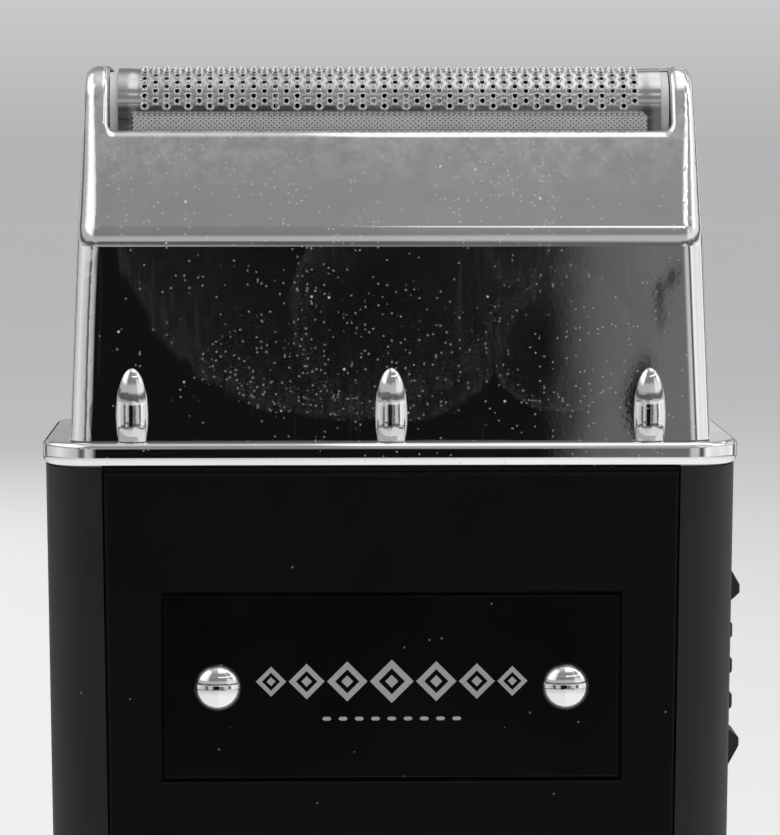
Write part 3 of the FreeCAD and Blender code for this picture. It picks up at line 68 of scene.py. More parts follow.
# ------------------------------------------------------------------ shader helpers
class Shader:
    """A node tree with short calls for adding and joining nodes."""

    def __init__(self, owner):
        owner.use_nodes = True
        self.tree = owner.node_tree
        self.tree.nodes.clear()

    def add(self, kind, inputs=None, **settings):
        node = self.tree.nodes.new("ShaderNode" + kind)
        for name, setting in settings.items():
            setattr(node, name, setting)
        for name, source in (inputs or {}).items():
            self.feed(node.inputs[name], source)
        return node

    def feed(self, socket, source):
        if isinstance(source, bpy.types.Node):
            source = source.outputs[0]
        if isinstance(source, bpy.types.NodeSocket):
            self.tree.links.new(source, socket)
        else:
            socket.default_value = source

    def math(self, operation, first, second=0.0, clamp=False):
        return self.add("Math", {0: first, 1: second}, operation=operation, use_clamp=clamp)

    def ramp(self, factor, stops, interpolation="LINEAR"):
        """A colour ramp; each stop is (position, grey or colour)."""
        node = self.add("ValToRGB", {"Fac": factor})
        node.color_ramp.interpolation = interpolation
        elements = node.color_ramp.elements
        while len(elements) < len(stops):
            elements.new(0.5)
        for element, (position, tone) in zip(elements, stops):
            element.position = position
            element.color = (tone, tone, tone, 1) if isinstance(tone, float) else (*tone, 1)
        return node

    def mix(self, factor, first, second, blend="MIX"):
        node = self.add("Mix", data_type="RGBA", blend_type=blend)
        self.feed(node.inputs[0], factor)
        self.feed(node.inputs[6], first)
        self.feed(node.inputs[7], second)
        return node.outputs[2]

    def place(self, scale=(1, 1, 1), turn=(0, 0, 0)):
        """Object coordinates, which are the frame's own, scaled per axis."""
        where = self.add("TexCoord").outputs["Object"]
        return self.add("Mapping", {"Vector": where, "Scale": scale, "Rotation": turn})

    def noise(self, scale, detail=3.0, roughness=0.5, place=None):
        return self.add("TexNoise", {"Vector": place or self.place(), "Scale": scale, "Detail": detail,
                                     "Roughness": roughness})

    def bump(self, height, distance, strength=1.0, below=None):
        node = self.add("Bump", {"Height": height, "Distance": distance, "Strength": strength})
        if below is not None:
            self.feed(node.inputs["Normal"], below)
        return node


def grey(level):
    return (level, level, level, 1)


def specks(shader, scale, size, density, gather=1.0):
    """Small scattered dots: 1 inside a dot and 0 outside; a slow noise and gather crowd them together."""
    cells = shader.add("TexVoronoi", {"Vector": shader.place(), "Scale": scale, "Randomness": 1.0})
    dot = shader.math("LESS_THAN", cells.outputs["Distance"], size)
    chance = shader.add("SeparateColor", {"Color": cells.outputs["Color"]}).outputs[0]
    patch = shader.ramp(shader.noise(110.0, 3.0, 0.6), [(0.38, 0.15), (0.66, 1.0)])
    crowd = shader.math("MULTIPLY", shader.math("MULTIPLY", patch, density), gather)
    return shader.math("MULTIPLY", dot, shader.math("LESS_THAN", chance, crowd))


def wiped_arcs(shader):
    """Haze left by round wiping strokes seen along Y: it grows outwards and stops at each stroke's edge."""
    spread = shader.math("SUBTRACT", shader.noise(320.0, 3.0, 0.65), 0.5)
    haze = None
    for x, z, reach in WIPES:
        offset = shader.add("Mapping", {"Vector": shader.add("TexCoord").outputs["Object"],
                                        "Location": (-x / reach, 0, -z / reach),
                                        "Scale": (1 / reach, 0, 1 / reach)})
        distance = shader.add("VectorMath", {0: offset}, operation="LENGTH").outputs["Value"]
        uneven = shader.math("ADD", distance, shader.math("MULTIPLY", spread, 0.16))
        stroke = shader.ramp(uneven, [(0.30, 0.0), (0.80, 0.45), (0.955, 1.0), (0.985, 0.0)])
        haze = stroke if haze is None else shader.math("MAXIMUM", haze, stroke)
    return haze


def finish_material(shader, surface):
    shader.add("OutputMaterial", {"Surface": surface})


# ------------------------------------------------------------------ materials
# The largest share of the chrome's surface that each kind of soiling covers
FINE_DUST = 0.26
COARSE_DUST = 0.55
HAZE_FILM = 0.030
SCRATCH_FILM = 0.03
BARE_FILM = 0.003
RIM_FILM = 0.24


def chrome_plating(name):
    """Bright chrome with a faint waviness, wiped dust, hairline scratches and a mottled film at the rim."""
    material = bpy.data.materials.new(name)
    shader = Shader(material)
    cloud = shader.ramp(shader.noise(60.0, 4.0, 0.6), [(0.48, 0.0), (0.75, 1.0)])
    haze = wiped_arcs(shader)
    hair = shader.noise(1300.0, 2.0, 0.5, shader.place((1.0, 1.0, 0.05), (0.0, 0.7, 0.0)))
    scratch = shader.math("MULTIPLY", shader.ramp(hair, [(0.66, 0.0), (0.70, 1.0)]), cloud)
    gloss = shader.math("ADD", shader.math("MULTIPLY", cloud, 0.03), 0.018)
    wave = shader.bump(shader.noise(70.0, 1.5), 0.00004, 0.6)
    grain = shader.bump(shader.noise(2400.0, 2.0), 0.000001, 0.4, wave)
    plated = shader.add("BsdfPrincipled", {
        "Base Color": shader.mix(cloud, grey(0.90), grey(0.84)), "Metallic": 1.0,
        "Roughness": gloss, "Normal": grain})
    crowd = shader.math("ADD", shader.math("MULTIPLY", haze, 1.1), 0.45)
    fine = shader.math("MULTIPLY", specks(shader, 2500.0, 0.24, 0.60, crowd), FINE_DUST)
    coarse = shader.math("MULTIPLY", specks(shader, 700.0, 0.085, 0.40, crowd), COARSE_DUST)
    smear = shader.noise(2600.0, 2.0, 0.6, shader.place((1.0, 1.0, 0.22), (0.0, 0.6, 0.0)))
    smeared = shader.math("MULTIPLY", haze, shader.ramp(smear, [(0.35, 0.2), (0.7, 1.0)]))
    film = shader.math("MULTIPLY", smeared, HAZE_FILM)
    film = shader.math("ADD", film, shader.math("MULTIPLY", scratch, SCRATCH_FILM))
    film = shader.math("ADD", film, BARE_FILM)
    level = shader.add("SeparateXYZ", {"Vector": shader.add("TexCoord").outputs["Object"]}).outputs["Z"]
    grime = shader.add("MapRange", {"Value": level, "From Min": RIM_GRIME[0], "From Max": RIM_GRIME[1]})
    mottle = shader.ramp(shader.noise(560.0, 5.0, 0.75), [(0.40, 0.0), (0.68, 1.0)])
    film = shader.math("ADD", film, shader.math("MULTIPLY", shader.math("MULTIPLY", grime, mottle), RIM_FILM))
    powder = shader.add("BsdfDiffuse", {"Color": grey(0.60)})
    cover = shader.math("MAXIMUM", shader.math("MAXIMUM", fine, coarse), film)
    finish_material(shader, shader.add("MixShader", {0: cover, 1: plated, 2: powder}))
    return material


def moulded(name, colour, roughness, grain_scale, grain_depth, variation=0.25, dust=0.0, clear=0.0,
            shine=0.5):
    """Moulded plastic with a spark-textured surface, patchy sheen and a few specks of dust."""
    material = bpy.data.materials.new(name)
    shader = Shader(material)
    cloud = shader.noise(120.0, 4.0, 0.6)
    dark = tuple(channel * (1 - variation) for channel in colour) + (1,)
    light = tuple(channel * (1 + variation) for channel in colour) + (1,)
    tone = shader.mix(shader.ramp(cloud, [(0.3, 0.0), (0.7, 1.0)]), dark, light)
    sheen = shader.math("ADD", shader.math("MULTIPLY", cloud, 0.12), roughness - 0.06)
    normal = shader.bump(shader.noise(grain_scale, 2.0, 0.6), grain_depth, 0.6)
    surface = shader.add("BsdfPrincipled", {
        "Base Color": tone, "Roughness": sheen, "Normal": normal, "Specular IOR Level": shine,
        "Coat Weight": clear, "Coat Roughness": 0.05})
    if dust > 0:
        powder = shader.add("BsdfDiffuse", {"Color": grey(0.16)})
        cover = shader.math("MULTIPLY", specks(shader, 900.0, 0.09, dust), 0.6)
        surface = shader.add("MixShader", {0: cover, 1: surface, 2: powder})
    finish_material(shader, surface)
    return material


def metal(name, colour, roughness, brush=(1.0, 1.0, 1.0), depth=0.000003, tarnish=0.12, solid=1.0):
    """Plain metal with a brushed or turned grain along the axis whose brush value is small.

    A solid value below 1 stands for an etched, matt surface.
    """
    material = bpy.data.materials.new(name)
    shader = Shader(material)
    lines = shader.noise(2600.0, 2.0, 0.6, shader.place(brush))
    cloud = shader.noise(150.0, 3.0, 0.6)
    worn = tuple(channel * (1 - tarnish) for channel in colour) + (1,)
    tone = shader.mix(shader.ramp(cloud, [(0.35, 0.0), (0.7, 1.0)]), (*colour, 1), worn)
    gloss = shader.math("ADD", shader.math("MULTIPLY", lines, 0.14), roughness - 0.07)
    normal = shader.bump(lines, depth, 0.7)
    finish_material(shader, shader.add("BsdfPrincipled", {
        "Base Color": tone, "Metallic": solid, "Roughness": gloss, "Normal": normal}))
    return material


def make_materials():
    """One material for each of the record's slots, and a few for the added pieces."""
    return {
        "casing": moulded("casing", (0.0032, 0.0032, 0.0034), 0.40, 5200.0, 0.000008, dust=0.10, shine=0.42),
        "panel": moulded("panel", (0.0010, 0.0010, 0.0011), 0.40, 6500.0, 0.000005, dust=0.12, shine=0.12),
        "plate": moulded("plate", (0.0008, 0.0008, 0.0009), 0.20, 1500.0, 0.000001, dust=0.16, shine=0.15),
        "chrome": chrome_plating("chrome"),
        "foil_steel": metal("foil_steel", (0.76, 0.76, 0.75), 0.15, (0.08, 1.0, 1.0), 0.000001),
        "foil_mesh": metal("foil_mesh", (0.44, 0.44, 0.435), 0.50, depth=0.000002, solid=0.45),
        # The steel base colour is set darker than bare steel as painted shade, so that the cutter blades seen
        # through the foil holes look shadowed; every part in this slot shares it.
        "steel": metal("steel", (0.42, 0.42, 0.43), 0.32, (1.0, 1.0, 0.1)),
        "screw": metal("screw", (0.10, 0.10, 0.105), 0.35),
        "holder": moulded("holder", (0.40, 0.41, 0.42), 0.35, 3000.0, 0.000004, 0.08),
        "frame_plastic": moulded("frame_plastic", (0.022, 0.022, 0.024), 0.48, 4000.0, 0.000012),
        "white_plastic": moulded("white_plastic", (0.62, 0.62, 0.59), 0.42, 3500.0, 0.000008, 0.06),
        "spring": metal("spring", (0.52, 0.52, 0.53), 0.22),
        "motor_steel": metal("motor_steel", (0.48, 0.48, 0.49), 0.30, (1.0, 1.0, 0.08)),
        "magnet": metal("magnet", (0.07, 0.07, 0.075), 0.55, depth=0.00002),
        "copper": metal("copper", (0.62, 0.26, 0.11), 0.30, (1.0, 1.0, 0.1), tarnish=0.3),
        "brass": metal("brass", (0.66, 0.49, 0.22), 0.28, (1.0, 1.0, 0.1), tarnish=0.25),
        "felt": moulded("felt", (0.20, 0.20, 0.18), 0.85, 2200.0, 0.00010, 0.3),
        "cell_wrap": moulded("cell_wrap", (0.03, 0.12, 0.30), 0.25, 2500.0, 0.000004, 0.15, clear=0.4),
        "board": moulded("board", (0.012, 0.10, 0.045), 0.30, 2600.0, 0.000008, 0.3, clear=0.3),
        "chip": moulded("chip", (0.02, 0.02, 0.02), 0.5, 5200.0, 0.000008),
        "lens": moulded("lens", (0.55, 0.56, 0.54), 0.18, 2500.0, 0.000002, 0.1, clear=0.6),
        "led": moulded("led", (0.70, 0.66, 0.40), 0.3, 2500.0, 0.000004, 0.1),
        "wire_red": moulded("wire_red", (0.40, 0.015, 0.012), 0.38, 2500.0, 0.000005),
        "wire_black": moulded("wire_black", (0.012, 0.012, 0.012), 0.38, 2500.0, 0.000005),
        "silver_print": metal("silver_print", (0.62, 0.62, 0.62), 0.42, depth=0.000008),
    }


def paint_cad_nodes(materials):
    """Give every CAD node the material of its slot in the record."""
    slots = {row["node"]: row["material_slot"] for row in frame["record"]["subparts"]}
    for name, node in frame["nodes"].items():
        for slot in node.material_slots:
            slot.link = "OBJECT"
            slot.material = materials[slots[name]]


# ------------------------------------------------------------------ mesh helpers
def mesh_object(name, vertices, faces, material, sharp_angle=35.0):
    """A new object with its faces turned outwards, smooth except along edges above the sharp angle."""
    mesh = bpy.data.meshes.new(name)
    mesh.from_pydata(vertices, [], faces)
    mesh.validate()
    skin = bmesh.new()
    skin.from_mesh(mesh)
    bmesh.ops.recalc_face_normals(skin, faces=skin.faces)
    skin.to_mesh(mesh)
    skin.free()
    mesh.shade_smooth()
    mesh.set_sharp_from_angle(angle=math.radians(sharp_angle))
    mesh.materials.append(material)
    piece = bpy.data.objects.new(name, mesh)
    bpy.context.scene.collection.objects.link(piece)
    return piece


# ------------------------------------------------------------------ foils
class FoilSheet:
    """A thin perforated sheet bent over an arch, made as one closed mesh.

    A point on the sheet has u along the foil and v along the arc, measured from the crown and positive
    towards the outside of the shaver. The sheet is a grid of u columns and v rows, in which each hole
    takes the place of a block of grid squares.
    """

    COLUMN = 0.98 * MM          # spacing of the columns of large holes
    QUARTER = COLUMN / 4
    HOLE_COLUMNS = 46
    HOLES_OVER_ARCH = 12        # hole pitches between the two tangent lines
    HOLE_SIDES = 16
    LIP = [(0.180, -0.030), (0.190, 0.090), (0.220, 0.190), (0.270, 0.220), (0.325, 0.160), (0.375, 0.050),
           (0.415, 0.0), (0.475, 0.0)]  # mm: radius, rise
    SUNK = 0.05 * MM            # how far the perforated field lies below the plain ends
    SLOPE_IN = 0.9 * MM         # width of the slope down to the field, and of the plain end beside it
    SLIT_START = 0.72 * MM      # drop from the tangent line to the first fine row
    SLIT_ROW = 0.205 * MM       # half the pitch of the fine holes along v
    SLIT_ROWS = 12
    SLIT_SHAPE = [(0.060, 0.0), (0.036, 0.078), (-0.036, 0.078),
                  (-0.060, 0.0), (-0.036, -0.078), (0.036, -0.078)]  # mm: along u, along v
    SLIT_RINGS = [(0.70, 0.020), (1.15, 0.055)]  # scale of the slit's outline, rise in mm
    THICK = 0.07 * MM

    def __init__(self, node, outward):
        low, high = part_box(node)
        self.outward = outward
        self.half = high.x
        self.radius = (high.y - low.y) / 2
        self.middle = (high.y + low.y) / 2
        self.axis = high.z - self.radius
        self.bottom = low.z
        self.quarter_turn = self.radius * math.pi / 2
        self.pitch = 2 * self.quarter_turn / self.HOLES_OVER_ARCH
        self.points = []
        self.rises = []
        self.faces = []
        self.grid = {}

    def add_point(self, u, v, rise=0.0):
        self.points.append((u, v))
        self.rises.append(rise)
        return len(self.points) - 1

    def node(self, column, row):
        """The grid point at this column and row, made when first asked for."""
        key = (column, row)
        if key not in self.grid:
            self.grid[key] = self.add_point(self.us[column], self.vs[row])
        return self.grid[key]

    def lay_out(self):
        """Grid lines: quarter columns in u; in v quarter pitches over the arch, then the fine rows."""
        zone = self.HOLE_COLUMNS * self.COLUMN / 2
        spare = int((self.half - zone) / self.QUARTER)
        inner = [-zone + (n - spare) * self.QUARTER for n in range(self.HOLE_COLUMNS * 4 + 2 * spare + 1)]
        self.us = [-self.half] + inner + [self.half]
        self.first_column = 1 + spare
        step = self.pitch / 4
        arch = [(n - 2) * step - self.quarter_turn for n in range(self.HOLES_OVER_ARCH * 4 + 5)]
        leg = self.quarter_turn + self.axis - self.bottom
        start = self.quarter_turn + self.SLIT_START
        fine = [start + n * self.SLIT_ROW for n in range(self.SLIT_ROWS + 1)]
        plain = [leg + (fine[-1] - leg) * n / 3 for n in (3, 2, 1, 0)][1:]
        mirrored = [-leg, -leg + (leg + arch[0]) / 2]
        self.vs = mirrored + arch + fine + plain
        self.first_row = len(mirrored)
        self.first_slit_row = len(mirrored) + len(arch)

    def ring_block(self, column, row, wide, tall, rings):
        """Replace wide by tall grid squares by rings of points around a hole at the block's middle."""
        around = [(column + wide, row + n) for n in range(tall // 2, tall)]
        around += [(column + wide - n, row + tall) for n in range(wide)]
        around += [(column, row + tall - n) for n in range(tall)]
        around += [(column + n, row) for n in range(wide)]
        around += [(column + wide, row + n) for n in range(tall // 2)]
        outer = [self.node(*key) for key in around]
        centre_u = (self.us[column] + self.us[column + wide]) / 2
        centre_v = (self.vs[row] + self.vs[row + tall]) / 2
        for ring, rise in reversed(rings):
            inner = [self.add_point(centre_u + du, centre_v + dv, rise) for du, dv in ring]
            for n in range(len(outer)):
                after = (n + 1) % len(outer)
                self.faces.append((outer[n], outer[after], inner[after], inner[n]))
            outer = inner

    def build(self):
        self.lay_out()
        taken = set()

        def take(column, row, wide, tall):
            taken.update((column + i, row + j) for i in range(wide) for j in range(tall))

        turn = [n * math.tau / self.HOLE_SIDES for n in range(self.HOLE_SIDES)]
        lip = [([(r * MM * math.cos(a), r * MM * math.sin(a)) for a in turn], rise * MM)
               for r, rise in self.LIP]
        for number in range(self.HOLE_COLUMNS):
            column = self.first_column + 4 * number
            shift = 0 if number % 2 == 0 else 2
            for hole in range(self.HOLES_OVER_ARCH + (1 if shift == 0 else 0)):
                row = self.first_row + shift + 4 * hole
                self.ring_block(column, row, 4, 4, lip)
                take(column, row, 4, 4)
        self.plain_faces = len(self.faces)
        slit = [([(du * grow * MM, dv * grow * MM) for du, dv in self.SLIT_SHAPE], rise * MM)
                for grow, rise in self.SLIT_RINGS]
        for number in range(self.HOLE_COLUMNS * 4 + 4):
            column = self.first_column - 2 + number
            for hole in range(self.SLIT_ROWS // 2 - number % 2):
                row = self.first_slit_row + number % 2 + 2 * hole
                self.ring_block(column, row, 1, 2, slit)
                take(column, row, 1, 2)
        self.mesh_faces = len(self.faces)
        for column in range(len(self.us) - 1):
            for row in range(len(self.vs) - 1):
                if (column, row) not in taken:
                    self.faces.append((self.node(column, row), self.node(column + 1, row),
                                       self.node(column + 1, row + 1), self.node(column, row + 1)))

    def bend(self, u, v, rise):
        """Wrap a sheet point round the arch; the perforated field is sunk a little below the plain ends."""
        side = self.outward
        field = min(max((self.half - self.SLOPE_IN - abs(u)) / self.SLOPE_IN, 0), 1)
        rise -= self.SUNK * field
        if abs(v) <= self.quarter_turn:
            angle = v / self.radius
            reach = self.radius + rise
            return (u, self.middle + side * reach * math.sin(angle), self.axis + reach * math.cos(angle))
        sign = 1 if v > 0 else -1
        drop = abs(v) - self.quarter_turn
        return (u, self.middle + side * sign * (self.radius + rise), self.axis - drop)

    def close(self):
        """Outer skin, inner skin and the walls that join them along every open edge."""
        count = len(self.points)
        outer = [self.bend(u, v, rise) for (u, v), rise in zip(self.points, self.rises)]
        inner = [self.bend(u, v, rise - self.THICK) for (u, v), rise in zip(self.points, self.rises)]
        edges = {}
        for face in self.faces:
            for start, finish in zip(face, face[1:] + face[:1]):
                edges[(start, finish)] = True
        walls = [(finish, start, start + count, finish + count) for start, finish in edges
                 if (finish, start) not in edges]
        back = [tuple(n + count for n in reversed(face)) for face in self.faces]
        faces = self.faces + back + walls
        if self.outward > 0:
            faces = [tuple(reversed(face)) for face in faces]
        return outer + inner, faces


def make_foils(materials):
    """The two perforated sheets that take the place of the plain CAD foils."""
    for name, outward in (("front", -1), ("rear", 1)):
        sheet = FoilSheet("foil_" + name, outward)
        sheet.build()
        vertices, faces = sheet.close()
        piece = mesh_object(f"foil_{name}_sheet", vertices, faces, materials["foil_steel"], 50.0)
        piece.data.materials.append(materials["foil_mesh"])
        for number in range(sheet.plain_faces, sheet.mesh_faces):
            piece.data.polygons[number].material_index = 1
        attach(piece, "foil_unit_" + name)
        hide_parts("foil_" + name)


# ------------------------------------------------------------------ springs
COIL_STEPS = 20                 # points per turn of a spring
WIRE_SIDES = 10
SPRING_TURNS = 7
CLOSED_TURNS = 1                # at each end
FOIL_WIRE, CUTTER_WIRE = 0.21 * MM, 0.3 * MM      # wire radii


def coil_path(turns, closed, mean, wire, low, high):
    """Centre line of a compression spring; its closed end turns lie one on the next."""
    active = turns - 2 * closed
    rest = (high - low - 2 * wire - 4 * closed * wire) / active
    path = []
    for step in range(turns * COIL_STEPS + 1):
        turn = step / COIL_STEPS
        first = min(turn, closed)
        middle = min(max(turn - closed, 0), active)
        last = max(turn - closed - active, 0)
        rise = (first + last) * 2 * wire + middle * rest
        angle = turn * math.tau
        path.append(Vector((mean * math.cos(angle), mean * math.sin(angle), low + wire + rise)))
    return path


def tube_round(path, wire, where):
    """Vertices and faces of a capped round tube along path, moved by where."""
    vertices, faces = [], []
    for n, point in enumerate(path):
        ahead = (path[min(n + 1, len(path) - 1)] - path[max(n - 1, 0)]).normalized()
        outward = Vector((point.x, point.y, 0)).normalized()
        upward = ahead.cross(outward).normalized()
        for side in range(WIRE_SIDES):
            angle = side * math.tau / WIRE_SIDES
            vertices.append(point + where + wire * (outward * math.cos(angle) + upward * math.sin(angle)))
    for n in range(len(path) - 1):
        for side in range(WIRE_SIDES):
            after = (side + 1) % WIRE_SIDES
            corners = (n * WIRE_SIDES + side, n * WIRE_SIDES + after, (n + 1) * WIRE_SIDES + after,
                       (n + 1) * WIRE_SIDES + side)
            faces.append(tuple(reversed(corners)))
    faces.append(tuple(range(WIRE_SIDES)))
    faces.append(tuple(reversed(range((len(path) - 1) * WIRE_SIDES, len(path) * WIRE_SIDES))))
    return vertices, faces


def spring_piece(name, node, body, wire, across, materials):
    """Springs that take the place of a CAD node: one at each x in across."""
    low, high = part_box(node)
    middle_y = (low.y + high.y) / 2
    mean = (high.y - low.y) / 2 - wire
    vertices, faces = [], []
    for x in across:
        path = coil_path(SPRING_TURNS, CLOSED_TURNS, mean, wire, low.z, high.z)
        points, quads = tube_round(path, wire, Vector((x, middle_y, 0)))
        faces += [tuple(n + len(vertices) for n in quad) for quad in quads]
        vertices += points
    piece = mesh_object(name, vertices, faces, materials["spring"], 60.0)
    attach(piece, body)
    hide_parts(node)
    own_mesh(piece)


def make_springs(materials):
    """A pair of coils under each foil unit and one coil under each cutter."""
    for name in ("front", "rear"):
        low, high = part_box("foil_spring_" + name)
        out = (high.x - low.x) / 2 - (high.y - low.y) / 2
        spring_piece(f"foil_spring_{name}_coils", "foil_spring_" + name, "head",
                     FOIL_WIRE, (-out, out), materials)
        spring_piece(f"cutter_spring_{name}_coils", "cutter_spring_" + name, "oscillator",
                     CUTTER_WIRE, (0,), materials)


# ------------------------------------------------------------------ flexure legs
LEAF_THICK = 0.4 * MM
LEAF_BEND = 0.5 * MM            # radius of the bend's centre line between the leaf and its foot
LEAF_ROWS = 28
FOOT_ROWS = 4
BEND_ROWS = 6


def leg_path(foot_end, leaf_middle, bottom, top):
    """Centre line of a leg as (x, z) points, from the end of its foot round the bend and up the leaf."""
    level = bottom + LEAF_THICK / 2
    foot_long = leaf_middle + LEAF_BEND - foot_end
    path = [(foot_end + foot_long * n / FOOT_ROWS, level) for n in range(FOOT_ROWS)]
    for n in range(BEND_ROWS + 1):
        angle = n / BEND_ROWS * math.pi / 2
        path.append((leaf_middle + LEAF_BEND * (1 - math.sin(angle)),
                     level + LEAF_BEND * (1 - math.cos(angle))))
    start = level + LEAF_BEND
    path += [(leaf_middle, start + (top - start) * n / LEAF_ROWS) for n in range(1, LEAF_ROWS + 1)]
    return path


def leg_mesh(path, half_wide, side):
    """Strip of sheet metal of constant width along the path; side is 1 on the right and -1 on the left."""
    vertices, faces = [], []
    for n, (x, z) in enumerate(path):
        back, ahead = path[max(n - 1, 0)], path[min(n + 1, len(path) - 1)]
        along = Vector((ahead[0] - back[0], 0, ahead[1] - back[1])).normalized()
        across = Vector((-along.z, 0, along.x)) * LEAF_THICK / 2
        for y, sign in ((-half_wide, -1), (half_wide, -1), (half_wide, 1), (-half_wide, 1)):
            vertices.append((side * (x + sign * across.x), y, z + sign * across.z))
    for n in range(len(path) - 1):
        for corner in range(4):
            after = (corner + 1) % 4
            faces.append((4 * n + corner, 4 * n + after, 4 * n + 4 + after, 4 * n + 4 + corner))
    last = 4 * (len(path) - 1)
    return vertices, faces + [(0, 1, 2, 3), (last, last + 1, last + 2, last + 3)]


def make_flexure_legs(materials):
    """Both legs as one piece; their feet stand on the deck and their tops reach the oscillating bridge."""
    low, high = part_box("flexure_legs")
    bridge_low, bridge_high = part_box("oscillator_bridge")
    path = leg_path(high.x, bridge_high.x + LEAF_THICK / 2, low.z, high.z)
    vertices, faces = [], []
    for side in (-1, 1):
        points, quads = leg_mesh(path, high.y, side)
        faces += [tuple(n + len(vertices) for n in quad) for quad in quads]
        vertices += points
    piece = mesh_object("flexure_leaf_legs", vertices, faces, materials["steel"], 40.0)
    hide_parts("flexure_legs")
    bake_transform(piece)


# ------------------------------------------------------------------ nameplate ornament
PRINT_RISE = 0.03 * MM
PRINT_LEVEL = 60.7 * MM         # height of the ornament's middle
CHAIN = (1.95, 1.80, 1.60, 1.35)  # mm, half sizes of the ringed lozenges from the middle outwards
CHAIN_GAP = 0.22                # mm between neighbouring lozenges
RING_OPENING = 0.60             # size of a ring's opening as a share of its outside
RING_HEART = 0.30               # size of the solid middle as a share of the outside
DASHES, DASH_PITCH = 9, 1.45 * MM
DASH_HALF = (0.42 * MM, 0.17 * MM)
DASH_DROP = 3.35 * MM


def lozenge(x, half):
    return [(x - half, 0), (x, -half), (x + half, 0), (x, half)]


def ringed_lozenge(x, half):
    """Four sides of a ring and the solid lozenge inside it, as convex outlines."""
    outer, inner = lozenge(x, half), lozenge(x, half * RING_OPENING)
    sides = [[outer[n], outer[(n + 1) % 4], inner[(n + 1) % 4], inner[n]] for n in range(4)]
    return sides + [lozenge(x, half * RING_HEART)]


def ornament_outlines():
    """Convex (x, z) outlines about the ornament's middle: a chain of lozenges above a row of dashes."""
    outlines = ringed_lozenge(0, CHAIN[0] * MM)
    place = 0
    for inner, outer in zip(CHAIN, CHAIN[1:]):
        place += (inner + outer + CHAIN_GAP) * MM
        outlines += ringed_lozenge(-place, outer * MM) + ringed_lozenge(place, outer * MM)
    wide, tall = DASH_HALF
    for number in range(DASHES):
        x = (number - (DASHES - 1) / 2) * DASH_PITCH
        outlines.append([(x - wide, -DASH_DROP), (x - wide + tall, -DASH_DROP - tall),
                         (x + wide - tall, -DASH_DROP - tall), (x + wide, -DASH_DROP),
                         (x + wide - tall, -DASH_DROP + tall), (x - wide + tall, -DASH_DROP + tall)])
    return outlines


def make_ornament(materials):
    """Silver print that stands slightly above the nameplate between its rivets."""
    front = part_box("nameplate")[0].y
    vertices, faces = [], []
    for outline in ornament_outlines():
        first, count = len(vertices), len(outline)
        vertices += [(x, front - PRINT_RISE, PRINT_LEVEL + z) for x, z in outline]
        vertices += [(x, front + PRINT_RISE, PRINT_LEVEL + z) for x, z in outline]
        faces.append(tuple(range(first, first + count)))
        faces.append(tuple(range(first + count, first + 2 * count)))
        for n in range(count):
            after = (n + 1) % count
            faces.append((first + n, first + after, first + count + after, first + count + n))
    piece = mesh_object("plate_ornament", vertices, faces, materials["silver_print"], 30.0)
    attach(piece, "housing")


# ------------------------------------------------------------------ stage, light and camera
# The room that mirror-like surfaces see. Rows are (degrees, brightness). ROOM_LEFT and ROOM_RIGHT go by
# height above the level; the walls go across from straight ahead, and each shows only within its band.
ROOM_LEFT = (
    (-90, 0.90), (-30, 0.85), (-12, 0.60), (-9.5, 0.004), (2.2, 0.004), (3.0, 0.42), (4.5, 0.42),
    (6.5, 0.10), (9.5, 0.10), (12, 0.45), (18, 0.45), (23, 0.20), (33.5, 0.23), (35.5, 0.34),
    (37.8, 0.27), (48, 0.24), (58, 0.36), (72, 0.55), (90, 0.70))
ROOM_RIGHT = (
    (-90, 0.95), (-30, 0.95), (-12, 0.70), (-9.5, 0.004), (2.2, 0.004), (3.0, 0.70), (4.5, 0.70),
    (6.5, 0.12), (9.5, 0.12), (12, 0.50), (18, 0.50), (23, 0.22), (33.0, 0.25), (34.3, 1.3),
    (37.0, 1.3), (38.2, 0.28), (50, 0.26), (58, 1.0), (72, 1.2), (90, 1.0))
SEAM, SEAM_WIDE = 0.8, 1.2      # degrees: where the left room gives way to the right, and over how much
RIPPLE = 0.25                   # degrees by which a slow noise bends the walls
LOW_WALL = (
    (-90, 0.80), (-70, 0.62), (-50, 0.50), (-42, 0.10), (-36, 0.12), (-30, 0.60), (-19, 0.42), (-13, 0.0),
    (3.9, 0.0), (4.35, 0.145), (17, 0.15), (24, 0.55), (36, 0.55), (41, 0.08), (46, 0.10), (54, 1.0),
    (72, 0.80), (90, 0.90))
LOW_BAND = ((-9.5, 0.0), (-8.5, 1.0), (2.2, 1.0), (4, 0.0))
UPPER_WALL = (
    (-90, 0.9), (-60, 1.0), (-42, 0.6), (-34, 0.0), (38, 0.0), (44, 0.35), (52, 0.05), (70, 0.05),
    (78, 0.9), (90, 0.9))
UPPER_BAND = ((18, 0.0), (23, 1.0), (58, 1.0), (66, 0.0))
WINDOW_WALL = ((28, 0.0), (42, 0.35), (90, 0.35))
WINDOW_BAND = ((8, 0.0), (12, 1.0), (26, 1.0), (30, 0.0))
DARK_PATCHES = (                # (across, height) of the middle, then of the reach, in degrees
    ((5.06, -0.11), (0.12, 0.46)),
    ((5.29, 0.30), (0.08, 0.25)),
    ((4.81, -1.40), (0.18, 0.66)))
PATCH_TONE = 0.006
BACKDROP = ((-0.5, 0.46), (2.5, 0.66))  # what the camera itself sees, by height
EVEN_TONE = 0.80                # what lights every surface that isn't mirror-like

FLOOR_HALF = 12.0
LIT_POINT = (0, 0, 0.08)
SOFTBOXES = (                   # name, place, width, height, power in watts
    ("top_softbox", (0.1, -0.2, 0.75), 0.7, 0.5, 4.5),
    ("side_softbox", (0.65, -0.45, 0.30), 0.4, 0.5, 1.3),
    ("back_softbox", (-0.4, 0.6, 0.35), 0.5, 0.5, 2.2))

LENS, SENSOR = 175.0, 36.0      # mm
CAMERA_TARGET = (-0.00016, -0.015, 0.0843)
CAMERA_DISTANCE = 0.360
CAMERA_ASIDE, CAMERA_ABOVE = -1.3, 4.5  # degrees from straight in front


